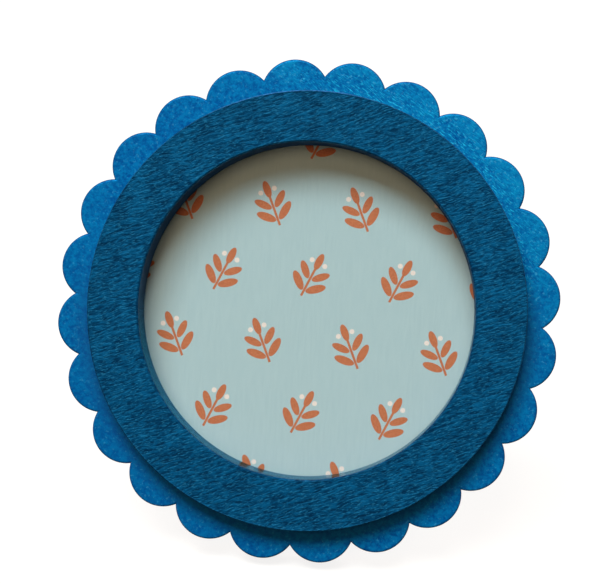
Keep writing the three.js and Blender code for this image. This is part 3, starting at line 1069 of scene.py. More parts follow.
@dataclass(frozen=True)
class PrintedCard:
    """Mint card printed with rows of orange leaf sprigs, in millimetres.

    Places are counted from far outside the card, so that rows and columns have no sign.
    """

    ground: Colour = srgb(176, 200, 199)
    shade: Colour = srgb(171, 196, 196)
    leaf: Colour = srgb(199, 121, 80)
    leaf_dark: Colour = srgb(183, 103, 66)
    berry_white: Colour = srgb(236, 222, 208)
    pitch: float = 27.0
    row: float = 21.0
    rise: float = 10.5
    rows_below: float = 10.5
    columns_before: float = 10.0
    tilt: float = math.radians(24)
    leaves: tuple[Oval, ...] = (
        Oval((3.0, -2.9), 40, (3.2, 1.25)),
        Oval((2.7, 1.0), 44, (2.9, 1.15)),
        Oval((0.0, 5.0), 90, (2.7, 1.15)),
    )
    leaf_edge: Pair = (-0.06, 0.1)
    stem_drop: float = 1.6
    stem_end: Pair = (5.0, 5.2)
    stem_side: Pair = (0.28, 0.45)
    berry: Oval = Oval((2.2, 4.6), 0, (0.8, 0.8))
    berry_edge: Pair = (-0.1, 0.25)
    grit: float = 0.5
    thread: Point = (1.8, 0.12, 1.0)
    thread_span: Pair = (0.3, 0.7)
    gloss_level: float = 0.25
    rough: float = 0.72
    rough_mottle: float = 0.1
    bump_strength: float = 0.15
    bump_depth: float = 0.04 * MM

    @staticmethod
    def _turned(desk: NodeDesk, x: Source, y: Source, cosine: float, sine: Source) -> tuple[Socket, Socket]:
        """Read a place on turned axes.

        Args:
            desk: where nodes go.
            x: place across.
            y: place along.
            cosine: cosine of the turn.
            sine: sine of the turn.

        Returns:
            The place on the turned axes.
        """
        first = desk.math("MULTIPLY_ADD", x, cosine, desk.product(y, sine))
        second = desk.math("SUBTRACT", desk.product(y, cosine), desk.product(x, sine))
        return first, second

    @staticmethod
    def _cell(desk: NodeDesk, count: Socket, size: float) -> Socket:
        """Give the place in a cell of a row of cells, from its middle."""
        return desk.product(desk.math("SUBTRACT", desk.math("FRACT", count), HALF), size)

    def _nearness(self, desk: NodeDesk, x: Source, y: Source, oval: Oval) -> Socket:
        """Give the nearness to an oval, 1 at its middle and 0 on its edge.

        Args:
            desk: where nodes go.
            x: place across the sprig.
            y: place along the sprig.
            oval: the oval.

        Returns:
            The nearness's socket.
        """
        turn = math.radians(oval.lean)
        right = desk.math("SUBTRACT", x, oval.middle[0])
        up = desk.math("SUBTRACT", y, oval.middle[1])
        along, across = self._turned(desk, right, up, math.cos(turn), math.sin(turn))
        first = desk.math("DIVIDE", along, oval.half[0])
        second = desk.math("DIVIDE", across, oval.half[1])
        return desk.inverse(desk.math("ADD", desk.product(first, first), desk.product(second, second)))

    def _sprig(self, finish: Finish) -> tuple[Socket, Socket]:
        """Give the place in a sprig: across it, alike on both sides, and along it.

        Args:
            finish: the finish whose place is read.

        Returns:
            The two places.
        """
        desk = finish.desk
        right, up, _ = desk.parts(finish.place)
        bottom = self.rows_below * self.row + self.rise
        rows = desk.math("DIVIDE", desk.math("ADD", up, bottom), self.row)
        odd = desk.math("MODULO", desk.math("FLOOR", rows), 2.0)
        columns = desk.total(desk.math("DIVIDE", right, self.pitch), (odd, HALF))
        columns = desk.math("ADD", columns, self.columns_before)
        x = self._cell(desk, columns, self.pitch)
        y = self._cell(desk, rows, self.row)
        side = desk.total(1.0, (odd, -2.0))
        swing = desk.product(side, math.sin(self.tilt))
        across, along = self._turned(desk, x, y, math.cos(self.tilt), swing)
        return desk.math("ABSOLUTE", across), along

    def material(self) -> bpy.types.Material:
        """Build the material."""
        finish = Finish("printed_card")
        desk = finish.desk
        across, along = self._sprig(finish)
        near = self._nearness(desk, across, along, self.leaves[0])
        for oval in self.leaves[1:]:
            near = desk.math("MAXIMUM", near, self._nearness(desk, across, along, oval))
        from_middle = desk.math("ABSOLUTE", desk.math("ADD", along, self.stem_drop))
        stem = desk.product(
            desk.mapped(across, self.stem_side, FALLING), desk.mapped(from_middle, self.stem_end, FALLING)
        )
        ink = desk.math("MAXIMUM", desk.mapped(near, self.leaf_edge), stem)
        berry = desk.mapped(self._nearness(desk, across, along, self.berry), self.berry_edge)
        mottle = finish.speckled(self.grit)["Mottle"]
        weave = desk.noise(desk.stretched(finish.place, self.thread), scale=1.0, rough=0.6)
        ground = desk.blend(desk.mapped(weave, self.thread_span), self.shade, self.ground)
        colour = desk.blend(ink, ground, desk.blend(mottle, self.leaf_dark, self.leaf))
        colour = desk.blend(berry, colour, self.berry_white)
        finish.set(Base_Color=colour, Specular_IOR_Level=self.gloss_level)
        finish.set(Roughness=desk.total(self.rough, (mottle, self.rough_mottle)))
        finish.bump(mottle, self.bump_strength, self.bump_depth)
        return finish.material


@dataclass(frozen=True)
class BlackVelour:
    """Black velour paper on hardboard, with a short nap that is brushed one way, in millimetres."""

    low: Colour = srgb(17, 17, 20)
    high: Colour = srgb(47, 47, 52)
    nap: float = 0.28
    brush_angle: float = 1.2
    brush_length: float = 9.0
    brush_width: float = 3.0
    brush_share: float = 0.35
    contrast: float = 0.74
    gloss_level: float = 0.12
    sheen: float = 0.35
    sheen_rough: float = 0.4
    rough: float = 0.88
    rough_nap: float = 0.1
    bump_strength: float = 0.5
    bump_depth: float = 0.1 * MM

    def material(self) -> bpy.types.Material:
        """Build the material."""
        finish = Finish("black_velour")
        desk = finish.desk
        nap = finish.speckled(self.nap)["Mottle"]
        brushed = finish.streaked(self.brush_angle, self.brush_length, self.brush_width)["Streak"]
        share = desk.product(desk.total(nap, (brushed, self.brush_share)), self.contrast)
        finish.set(Base_Color=desk.blend(share, self.low, self.high), Specular_IOR_Level=self.gloss_level)
        finish.set(Sheen_Weight=self.sheen, Sheen_Roughness=self.sheen_rough)
        finish.set(Roughness=desk.total(self.rough, (nap, self.rough_nap)))
        finish.bump(nap, self.bump_strength, self.bump_depth)
        return finish.material


@dataclass(frozen=True)
class PlatedSteel:
    """Bright zinc plate on stamped steel, finely drawn and rubbed at its edges, in millimetres."""

    low: Colour = srgb(148, 150, 154)
    high: Colour = srgb(205, 207, 210)
    rubbed: Colour = srgb(228, 227, 222)
    draw_angle: float = 0.05
    draw_length: float = 6.0
    draw_width: float = 0.22
    spangle: float = 0.9
    wear_edge: Pair = (0.52, 0.6)
    wear_share: float = 0.7
    rough: float = 0.26
    rough_drawn: float = 0.14
    bump_strength: float = 0.12
    bump_depth: float = 0.03 * MM

    def material(self) -> bpy.types.Material:
        """Build the material."""
        finish = Finish("plated_steel")
        desk = finish.desk
        drawn = finish.streaked(self.draw_angle, self.draw_length, self.draw_width)["Streak"]
        mixed = desk.math("ADD", finish.speckled(self.spangle)["Mottle"], drawn)
        base = desk.blend(desk.product(mixed, HALF), self.low, self.high)
        base = desk.blend(desk.product(finish.worn(self.wear_edge), self.wear_share), base, self.rubbed)
        rough = desk.total(self.rough, (drawn, self.rough_drawn))
        finish.set(Base_Color=base, Roughness=rough, Metallic=1.0)
        finish.bump(drawn, self.bump_strength, self.bump_depth)
        return finish.material


class Finishes:
    """Materials of the frame, each built once."""

    def __init__(self) -> None:
        """Build them all."""
        self.by_slot = {
            Slot.PEARL: PearlResin().material(),
            Slot.GRAINED: GrainedResin().material(),
            Slot.GLAZING: ClearGlass().material(),
            Slot.CARD: PrintedCard().material(),
            Slot.VELOUR: BlackVelour().material(),
            Slot.STEEL: PlatedSteel().material(),
        }

    def hand_over(self, obj: bpy.types.Object, node: str, slot: Slot, body: str) -> None:
        """Dress a finished piece and hand it to the frame.

        Args:
            obj: the piece in its place.
            node: the CAD node that it stands for.
            slot: its material slot.
            body: the body that it rides on.
        """
        obj.data.materials.clear()
        obj.data.materials.append(self.by_slot[slot])
        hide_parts(node)
        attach(obj, body)
        log.info("%s: %d faces on %s", obj.name, len(obj.data.polygons), body)


@dataclass
class ScallopedPlate:
    """Pearl plate with scallops round its edge, an opening and a rebate behind."""

    finishes: Finishes
    tip_radius: float = 76.1 * MM
    count: int = 24
    depth: float = 5.15 * MM
    edge_round: float = 0.7 * MM
    front: float = 7.3 * MM
    lip_back: float = 13.3 * MM
    back: float = 18.6 * MM
    opening_radius: float = 52.9 * MM
    rebate_radius: float = 55.6 * MM
    cutter_over: float = 1.0 * MM
    scallop_steps: int = 128
    round_steps: int = 5
    bore_steps: int = 288

    def _scallop_radius(self) -> float:
        """Give the radius that leaves the depth asked for between tip and valley."""
        valley = self.tip_radius - self.depth
        cosine = math.cos(math.pi / self.count)
        top = valley**2 - 2 * valley * self.tip_radius * cosine + self.tip_radius**2
        return top / (2 * (self.tip_radius - valley * cosine))

    def _wedge(self) -> bpy.types.Object:
        """Model one scallop with its share of the plate, open at both sides."""
        radius = self._scallop_radius()
        pitch = self.tip_radius - radius
        half = math.pi / self.count
        levels = (-self.front, -self.back)
        Bench.clear()
        bpy.ops.mesh.primitive_cylinder_add(
            vertices=self.scallop_steps,
            radius=radius,
            depth=self.back - self.front,
            location=(pitch, 0, -(self.front + self.back) / 2),
        )
        plate = Bench.named("plate")
        bpy.ops.object.transform_apply(location=True)
        with Bench.editing(plate, Pick.EDGES):
            for level in levels:
                Bench.round_level(plate, level, self.edge_round, self.round_steps)
            Bench.slice((pitch, 0, 0), (1, 0, 0), clear_inner=True)
            for side in (-1, 1):
                Bench.slice((0, 0, 0), (-math.sin(half), side * math.cos(half), 0), clear_outer=True)
            for level in levels:
                Bench.select(
                    plate, Pick.EDGES, lambda p, level=level: close(p.x, pitch) and close(p.z, level)
                )
                bpy.ops.mesh.select_mode(type=Pick.VERTS.value)
                Bench.step((0, 0, 0))
                bpy.ops.mesh.merge(type="CENTER")
                bpy.ops.transform.translate(value=(-pitch, 0, 0))
            Bench.join()
        return plate

    def build(self) -> None:
        """Model the plate, dress it and hand it over."""
        plate = self._wedge()
        plate.rotation_euler = (0, 0, math.pi / self.count)
        Bench.take(plate)
        bpy.ops.object.transform_apply(rotation=True)
        with Bench.editing(plate):
            Bench.ranged(self.count)
            Bench.tidy()
        top = self.cutter_over - self.front
        bottom = -self.back - self.cutter_over
        section = [
            (0, top),
            (self.opening_radius, top),
            (self.opening_radius, -self.lip_back),
            (self.rebate_radius, -self.lip_back),
            (self.rebate_radius, bottom),
            (0, bottom),
        ]
        Bench.cut(plate, Bench.turned("plate_cutter", section, self.bore_steps))
        plate.name = "scalloped_plate"
        Bench.settle(plate, FACE.matrix())
        self.finishes.hand_over(plate, "scalloped_base", Slot.PEARL, Body.FRAME.value)


@dataclass(frozen=True)
class GrainLayer:
    """One layer of pressed grain: size of its marks in millimetres and its share of the relief."""

    name: str
    length: float
    width: float
    share: float


@dataclass
class RaisedRing:
    """Grained ring on the plate, with a spigot that goes into its opening."""

    finishes: Finishes
    outer_radius: float = 65.9 * MM
    window_radius: float = 50.4 * MM
    height: float = 7.4 * MM
    edge_round: float = 0.5 * MM
    window_round: float = 0.9 * MM
    spigot_radius: float = 52.6 * MM
    spigot_depth: float = 13.3 * MM
    relief: float = 0.1 * MM
    layers: tuple[GrainLayer, ...] = (
        GrainLayer("coarse", 4.2, 1.1, 1.0),
        GrainLayer("fine", 2.2, 0.6, 0.6),
    )
    face_depth: float = 0.02 * MM
    face_steps: int = 44
    edge_steps: int = 5
    window_steps: int = 10
    round_steps: int = 1024
    wedges: int = 32

    def _profile(self) -> list[Pair]:
        """Give radius and height of the ring's section."""
        edge = self.edge_round
        soft = self.window_round
        inside = (self.window_radius + soft, -soft)
        outside = (self.outer_radius - edge, -edge)
        inner = Bench.arc(inside, soft, start=180, end=90, steps=self.window_steps)
        outer = Bench.arc(outside, edge, start=90, end=0, steps=self.edge_steps)
        low = inner[-1][0]
        high = outer[0][0]
        face = [(low + (high - low) * i / self.face_steps, 0.0) for i in range(1, self.face_steps)]
        rest = [
            (self.outer_radius, -self.height),
            (self.spigot_radius, -self.height),
            (self.spigot_radius, -self.spigot_depth),
            (self.window_radius, -self.spigot_depth),
            inner[0],
        ]
        return inner + face + outer + rest

    def _press(self, ring: bpy.types.Object, layer: GrainLayer) -> None:
        """Press one layer of grain into the ring's face.

        Args:
            ring: the ring on the bench, with its face in a vertex group.
            layer: the layer.
        """
        Bench.clear()
        bpy.ops.object.empty_add(location=(0, 0, 0), rotation=(0, 0, GRAIN_ANGLE))
        guide = bpy.context.view_layer.objects.active
        guide.scale = (layer.length * MM, layer.width * MM, layer.width * MM)
        bpy.context.view_layer.update()
        texture = bpy.data.textures.new("grain_" + layer.name, "CLOUDS")
        texture.noise_scale = 1.0
        texture.noise_depth = 1
        Bench.take(ring)
        modifier = ring.modifiers.new(layer.name, "DISPLACE")
        modifier.texture = texture
        modifier.texture_coords = "OBJECT"
        modifier.texture_coords_object = guide
        modifier.direction = "Z"
        modifier.mid_level = 1.0
        modifier.strength = self.relief * layer.share
        modifier.vertex_group = "face"
        bpy.ops.object.modifier_apply(modifier=layer.name)
        bpy.data.textures.remove(texture)
        Bench.drop(guide)

    def build(self) -> None:
        """Model the ring, dress it and hand it over."""
        ring = Bench.turned("grained_ring", self._profile(), self.round_steps, self.wedges)
        face = ring.vertex_groups.new(name="face")
        inside = [v.index for v in ring.data.vertices if v.co.z > -self.face_depth]
        face.add(inside, 1.0, "REPLACE")
        for layer in self.layers:
            self._press(ring, layer)
        Bench.settle(ring, FACE.matrix())
        self.finishes.hand_over(ring, "front_ring", Slot.GRAINED, Body.FRAME.value)


@dataclass(frozen=True)
class Disc:
    """Sizes of a flat disc: its radius, the depths of its two faces and the rounding of its edges."""

    radius: float
    front: float
    back: float
    edge_round: float


@dataclass
class PictureStack:
    """Glass, card and board that lie in the rebate."""

    finishes: Finishes
    glass: Disc = Disc(55.2 * MM, 13.6 * MM, 15.6 * MM, 0.3 * MM)
    card: Disc = Disc(54.9 * MM, 15.9 * MM, 16.3 * MM, 0.05 * MM)
    board: Disc = Disc(55.2 * MM, 16.6 * MM, 18.6 * MM, 0.3 * MM)
    disc_steps: int = 288
    round_steps: int = 3

    def _disc(self, name: str, disc: Disc) -> bpy.types.Object:
        """Model a flat disc with rounded edges and put it in its place.

        Args:
            name: the piece's name.
            disc: its sizes.

        Returns:
            The disc.
        """
        Bench.clear()
        bpy.ops.mesh.primitive_circle_add(
            vertices=self.disc_steps, radius=disc.radius, fill_type="NGON", location=(0, 0, -disc.back)
        )
        piece = Bench.named(name)
        bpy.ops.object.transform_apply(location=True)
        with Bench.editing(piece):
            bpy.ops.mesh.select_all(action="SELECT")
            Bench.step((0, 0, disc.back - disc.front))
            Bench.tidy()
            for level in (-disc.front, -disc.back):
                Bench.round_level(piece, level, disc.edge_round, self.round_steps)
        Bench.settle(piece, FACE.matrix())
        return piece

    def build(self) -> None:
        """Model the three pieces, dress them and hand them over."""
        glass = self._disc("glass_disc", self.glass)
        glass.visible_shadow = False
        glass.visible_diffuse = False
        self.finishes.hand_over(glass, "glass_pane", Slot.GLAZING, Body.FRAME.value)
        card = self._disc("insert_card", self.card)
        self.finishes.hand_over(card, "photo_card", Slot.CARD, Body.FRAME.value)
        board = self._disc("velour_board", self.board)
        self.finishes.hand_over(board, "backing_board", Slot.VELOUR, Body.FRAME.value)


@dataclass
class TurnButtons:
    """Flat turn buttons and the screws that they turn on."""

    finishes: Finishes
    count: int = 4
    circle_radius: float = 62.0 * MM
    seat: float = 18.9 * MM
    thickness: float = 1.0 * MM
    eye_radius: float = 4.2 * MM
    eye_reach: float = 0.2 * MM
    eye_steps: int = 64
    tip_radius: float = 2.8 * MM
    reach: float = 9.0 * MM
    bend_length: float = 3.0 * MM
    bend_angle: float = math.radians(28)
    hole_radius: float = 1.6 * MM
    hole_depth: float = 4.0 * MM
    hole_steps: int = 48
    button_round: float = 0.16 * MM
    head_seat: float = 20.2 * MM
    head_radius: float = 2.9 * MM
    head_height: float = 1.8 * MM
    head_rim: float = 0.38
    head_break: float = 0.15 * MM
    shank_radius: float = 1.3 * MM
    shank_length: float = 6.6 * MM
    point_length: float = 1.2 * MM
    recess_length: float = 3.2 * MM
    recess_width: float = 0.75 * MM
    recess_depth: float = 1.1 * MM
    recess_taper: float = 0.45
    screw_round: float = 0.06 * MM
    screw_steps: int = 56
    screw_turn: float = 0.4

    def _button(self) -> bpy.types.Object:
        """Model one button with its hole at the origin, its back up and its tip along X."""
        Bench.clear()
        bpy.ops.mesh.primitive_circle_add(vertices=self.eye_steps, radius=self.eye_radius, fill_type="NGON")
        button = Bench.named("button")
        bend = self.reach + self.tip_radius - self.bend_length
        share = self.tip_radius / self.eye_radius
        with Bench.editing(button):
            Bench.select(button, Pick.VERTS, lambda p: p.x > self.eye_reach)
            bpy.ops.transform.resize(value=(share, share, 1), center_override=(0, 0, 0))
            bpy.ops.transform.translate(value=(self.reach, 0, 0))
            bpy.ops.mesh.select_all(action="SELECT")
            Bench.step((0, 0, self.thickness))
            Bench.tidy()
            Bench.slice((bend, 0, 0), (1, 0, 0))
        for corner in button.data.vertices:
            beyond = corner.co.x - bend
            if beyond > NEAR:
                corner.co.z += beyond * math.tan(self.bend_angle)
        Bench.clear()
        bpy.ops.mesh.primitive_cylinder_add(
            vertices=self.hole_steps, radius=self.hole_radius, depth=self.hole_depth
        )
        Bench.cut(button, Bench.named("hole"))
        Bench.round_edges(button, self.button_round, steps=3, angle=40)
        return button

    def _blade(self, turn: float) -> bpy.types.Object:
        """Model one blade of the driver's tip, narrower below, in the head's top.

        Args:
            turn: its turn about the screw.

        Returns:
            The blade.
        """
        Bench.clear()
        bpy.ops.mesh.primitive_cube_add(size=1, rotation=(0, 0, turn))
        blade = Bench.named("blade")
        blade.scale = (self.recess_length, self.recess_width, 2 * self.recess_depth)
        blade.location = (0, 0, self.head_height)
        bpy.ops.object.transform_apply(location=True, rotation=True, scale=True)
        with Bench.editing(blade):
            Bench.select(blade, Pick.VERTS, lambda p: p.z < self.head_height)
            bpy.ops.transform.resize(
                value=(self.recess_taper, self.recess_taper, 1), center_override=(0, 0, 0)
            )
        return blade

    def _screw(self) -> bpy.types.Object:
        """Model one pan-head screw with its head's seat at the origin, its head up."""
        rim = self.head_height * self.head_rim
        profile = [
            (0, -self.shank_length),
            (self.shank_radius, self.point_length - self.shank_length),
            (self.shank_radius, 0),
            (self.head_radius - self.head_break, 0),
            (self.head_radius, self.head_break),
            *Bench.dome(self.head_radius, rim, self.head_height),
        ]
        screw = Bench.turned("screw", profile, self.screw_steps)
        for turn in (0.0, math.pi / 2):
            Bench.cut(screw, self._blade(turn))
        Bench.round_edges(screw, self.screw_round, steps=2, angle=50)
        return screw

    def build(self) -> None:
        """Model the buttons and screws, dress them and hand them over."""
        button = self._button()
        screw = self._screw()
        for k in range(self.count):
            angle = (k + HALF) * 2 * math.pi / self.count
            across = self.circle_radius * math.cos(angle)
            up = self.circle_radius * math.sin(angle)
            turn = Matrix.Rotation(angle + math.pi, 4, "Z") @ OVER
            name = f"turn_button_{k + 1}"
            one = Bench.copy(button, f"stamped_button_{k + 1}")
            Bench.settle(one, FACE.matrix() @ Matrix.Translation((across, up, -self.seat)) @ turn)
            self.finishes.hand_over(one, name, Slot.STEEL, name)
            pin = Bench.copy(screw, f"button_screw_{k + 1}")
            spun = Matrix.Rotation(angle + self.screw_turn * k, 4, "Z") @ OVER
            Bench.settle(pin, FACE.matrix() @ Matrix.Translation((across, up, -self.head_seat)) @ spun)
            self.finishes.hand_over(pin, f"turn_button_screw_{k + 1}", Slot.STEEL, Body.FRAME.value)
        Bench.drop(button)
        Bench.drop(screw)


@dataclass
class EaselHinge:
    """Stamped hinge of the easel: two leaves with rolled knuckles, a pin and rivets.

    Bench axes have their origin on the pin.
    """

    finishes: Finishes
    thickness: float = 0.8 * MM
    edge_round: float = 0.12 * MM
    knuckle_radius: float = 1.9 * MM
    curl: float = 290.0
    curl_steps: int = 28
    waist: float = 3.0 * MM
    height: float = 16.0 * MM
    corner: float = 2.5 * MM
    corner_steps: int = 8
    inner_span: float = 9.8 * MM
    inner_length: float = 3.3 * MM
    tab_width: float = 2.6 * MM
    tab_length: float = 3.77 * MM
    outer_start: float = 5.2 * MM
    half_width: float = 13.0 * MM
    pin_radius: float = 0.8 * MM
    pin_over: float = 0.3 * MM
    pin_head_radius: float = 1.5 * MM
    pin_head_height: float = 0.6 * MM
    pin_head_side: float = 0.2 * MM
    pin_head_break: float = 0.25 * MM
    pin_head_crown: float = 0.1 * MM
    pin_steps: int = 40
    rivet_spread: float = 7.5 * MM
    rivet_drop: float = 9.5 * MM
    rivet_shank: float = 1.1 * MM
    rivet_flare: float = 0.7 * MM
    rivet_head_radius: float = 2.2 * MM
    rivet_head_height: float = 1.1 * MM
    rivet_head_under: float = 0.35 * MM
    rivet_head_break: float = 0.1 * MM
    rivet_lift: float = 0.3 * MM
    board_grip: float = 3.4 * MM
    leg_grip: float = 3.8 * MM
    rivet_steps: int = 48

    def _curl_path(self) -> list[Pair]:
        """Give height and depth of the middle line of a rolled knuckle, from the plate round the pin."""
        radius = self.knuckle_radius - self.thickness / 2
        turns = [math.radians(self.curl * i / self.curl_steps) for i in range(self.curl_steps + 1)]
        return [(-radius * math.sin(turn), radius * math.cos(turn)) for turn in turns]

    def _leaf(self, name: str, half: float, spans: Sequence[Pair]) -> bpy.types.Object:
        """Model a leaf as a sheet: a plate above the pin and a rolled knuckle on each span.

        Args:
            name: the piece's name.
            half: half the plate's width.
            spans: ends of each knuckle.

        Returns:
            The sheet in the middle of its thickness.
        """
        front = self.knuckle_radius - self.thickness / 2
        top = self.waist + self.height
        Bench.clear()
        bpy.ops.mesh.primitive_plane_add(size=1, location=(0, (self.waist + top) / 2, front))
        leaf = Bench.named(name)
        leaf.scale = (2 * half, self.height, 1)
        bpy.ops.object.transform_apply(location=True, scale=True)
        path = self._curl_path()
        with Bench.editing(leaf):
            Bench.select(leaf, Pick.VERTS, lambda p: p.y > top - NEAR)
            bpy.ops.mesh.bevel(offset=self.corner, segments=self.corner_steps, affect="VERTICES")
            for edge in sorted({x for span in spans for x in span}):
                Bench.slice((edge, 0, 0), (1, 0, 0))
            for low, high in spans:
                self._pull(leaf, low, high, self.waist)
                for before, after in zip(path, path[1:]):
                    Bench.step((0, after[0] - before[0], after[1] - before[1]))
            Bench.tidy()
        return leaf

    def _pull(self, leaf: bpy.types.Object, low: float, high: float, length: float) -> None:
        """Draw a strip down from a leaf's lower edge in edit mode.

        Args:
            leaf: the leaf.
            low: one end of the strip.
            high: its other end.
            length: how far it goes.
        """
        Bench.select(
            leaf, Pick.EDGES, lambda p: close(p.y, self.waist) and low - NEAR < p.x < high + NEAR
        )
        Bench.step((0, -length, 0))

    def _finish_sheet(self, leaf: bpy.types.Object) -> None:
        """Give a leaf its thickness and soft edges."""
        Bench.thicken(leaf, self.thickness)
        Bench.round_edges(leaf, self.edge_round, steps=2, angle=45)

    def board_leaf(self) -> bpy.types.Object:
        """Model the leaf on the board."""
        spans = [(-self.half_width, -self.outer_start), (self.outer_start, self.half_width)]
        leaf = self._leaf("board_leaf", self.half_width, spans)
        self._finish_sheet(leaf)
        Bench.settle(leaf, FACE.hinge())
        return leaf

    def leg_leaf(self) -> bpy.types.Object:
        """Model the leaf on the leg, with the stop tab between its knuckles."""
        half = self.inner_span / 2
        tab = self.tab_width / 2
        spans = [(-half, self.inner_length - half), (half - self.inner_length, half)]
        leaf = self._leaf("leg_leaf", self.half_width - self.corner, spans)
        with Bench.editing(leaf):
            for edge in (-tab, tab):
                Bench.slice((edge, 0, 0), (1, 0, 0))
            self._pull(leaf, -tab, tab, self.waist + self.tab_length)
        self._finish_sheet(leaf)
        Bench.settle(leaf, FACE.opened() @ OVER)
        return leaf

    def _rivet(self, grip: float) -> bpy.types.Object:
        """Model a rivet with its head's seat at the origin, its head up.

        Args:
            grip: length below the head.

        Returns:
            The rivet.
        """
        profile = [
            (0, -grip),
            (self.rivet_shank + self.rivet_flare, -grip),
            (self.rivet_shank, self.rivet_flare - grip),
            (self.rivet_shank, -self.rivet_head_under),
            (self.rivet_head_radius - self.rivet_head_break, -self.rivet_head_under),
            *Bench.dome(self.rivet_head_radius, 0, self.rivet_head_height),
        ]
        return Bench.turned("rivet", profile, self.rivet_steps)

    def _pin(self) -> bpy.types.Object:
        """Model the pin along Z with its peened ends."""
        end = self.half_width + self.pin_over
        tip = end + self.pin_head_height
        head = self.pin_head_radius
        shaft = self.pin_radius
        side = [
            (shaft, end),
            (head, end),
            (head, end + self.pin_head_side),
            (head - self.pin_head_break, tip - self.pin_head_crown),
            (shaft / 2, tip),
            (0, tip),
        ]
        profile = [(radius, -height) for radius, height in reversed(side)] + side
        return Bench.turned("pin", profile, self.pin_steps)

    def build(self) -> None:
        """Model the hinge, dress it and hand it over."""
        easel = Body.EASEL.value
        board = Body.FRAME.value
        self.finishes.hand_over(self.board_leaf(), "hinge_board_leaf", Slot.STEEL, board)
        self.finishes.hand_over(self.leg_leaf(), "hinge_leg_leaf", Slot.STEEL, easel)
        pin = self._pin()
        pin.name = "peened_pin"
        Bench.settle(pin, FACE.hinge() @ Matrix.Rotation(math.pi / 2, 4, "Y"))
        self.finishes.hand_over(pin, "hinge_pin", Slot.STEEL, board)
        on_board = self._rivet(self.board_grip)
        on_leg = self._rivet(self.leg_grip)
        board_seat = self.knuckle_radius - self.thickness - self.rivet_lift
        leg_seat = -self.knuckle_radius - self.rivet_lift
        for k, x in enumerate((-self.rivet_spread, self.rivet_spread), 1):
            one = Bench.copy(on_board, f"leaf_rivet_board_{k}")
            place = Matrix.Translation((x, self.rivet_drop, board_seat))
            Bench.settle(one, FACE.hinge() @ place @ OVER)
            self.finishes.hand_over(one, f"board_rivet_{k}", Slot.STEEL, board)
            two = Bench.copy(on_leg, f"leaf_rivet_leg_{k}")
            place = Matrix.Translation((x, -self.rivet_drop, leg_seat))
            Bench.settle(two, FACE.opened() @ place @ OVER)
            self.finishes.hand_over(two, f"leg_rivet_{k}", Slot.STEEL, easel)
        Bench.drop(on_board)
        Bench.drop(on_leg)


@dataclass
class EaselLeg:
    """Velour covered strut that swings on the hinge, its foot cut flat for the table."""

    finishes: Finishes
    top: float = 3.0 * MM
    top_half: float = 13.0 * MM
    foot_half: float = 20.0 * MM
    corner: float = 4.0 * MM
    corner_steps: int = 10
    front: float = 1.6 * MM
    back: float = -0.8 * MM
    edge_round: float = 0.35 * MM

    def build(self) -> None:
        """Model the leg, dress it and hand it over."""
        place = FACE.opened()
        spread = FACE.open_angle - FACE.lean
        foot = (FACE.pin().z - self.back * math.sin(spread)) / math.cos(spread)
        narrow = self.top_half / self.foot_half
        Bench.clear()
        bpy.ops.mesh.primitive_plane_add(size=1, location=(0, -(self.top + foot) / 2, self.back))
        leg = Bench.named("velour_leg")
        leg.scale = (2 * self.foot_half, foot - self.top, 1)
        bpy.ops.object.transform_apply(location=True, scale=True)
        with Bench.editing(leg):
            Bench.select(leg, Pick.VERTS, lambda p: p.y > -self.top - NEAR)
            bpy.ops.transform.resize(value=(narrow, 1, 1), center_override=(0, 0, 0))
            bpy.ops.mesh.select_all(action="SELECT")
            bpy.ops.mesh.bevel(offset=self.corner, segments=self.corner_steps, affect="VERTICES")
            bpy.ops.mesh.select_all(action="SELECT")
            Bench.step((0, 0, self.front - self.back))
            Bench.tidy()
            table = place.inverted() @ Vector((0, FACE.pin().y, 0))
            normal = place.to_3x3().inverted() @ Vector((0, 0, -1))
            Bench.slice(table, normal, clear_outer=True, use_fill=True)
            Bench.tidy()
        Bench.round_edges(leg, self.edge_round, steps=3, angle=40)
        Bench.settle(leg, place)
        self.finishes.hand_over(leg, "easel_leg", Slot.VELOUR, Body.EASEL.value)


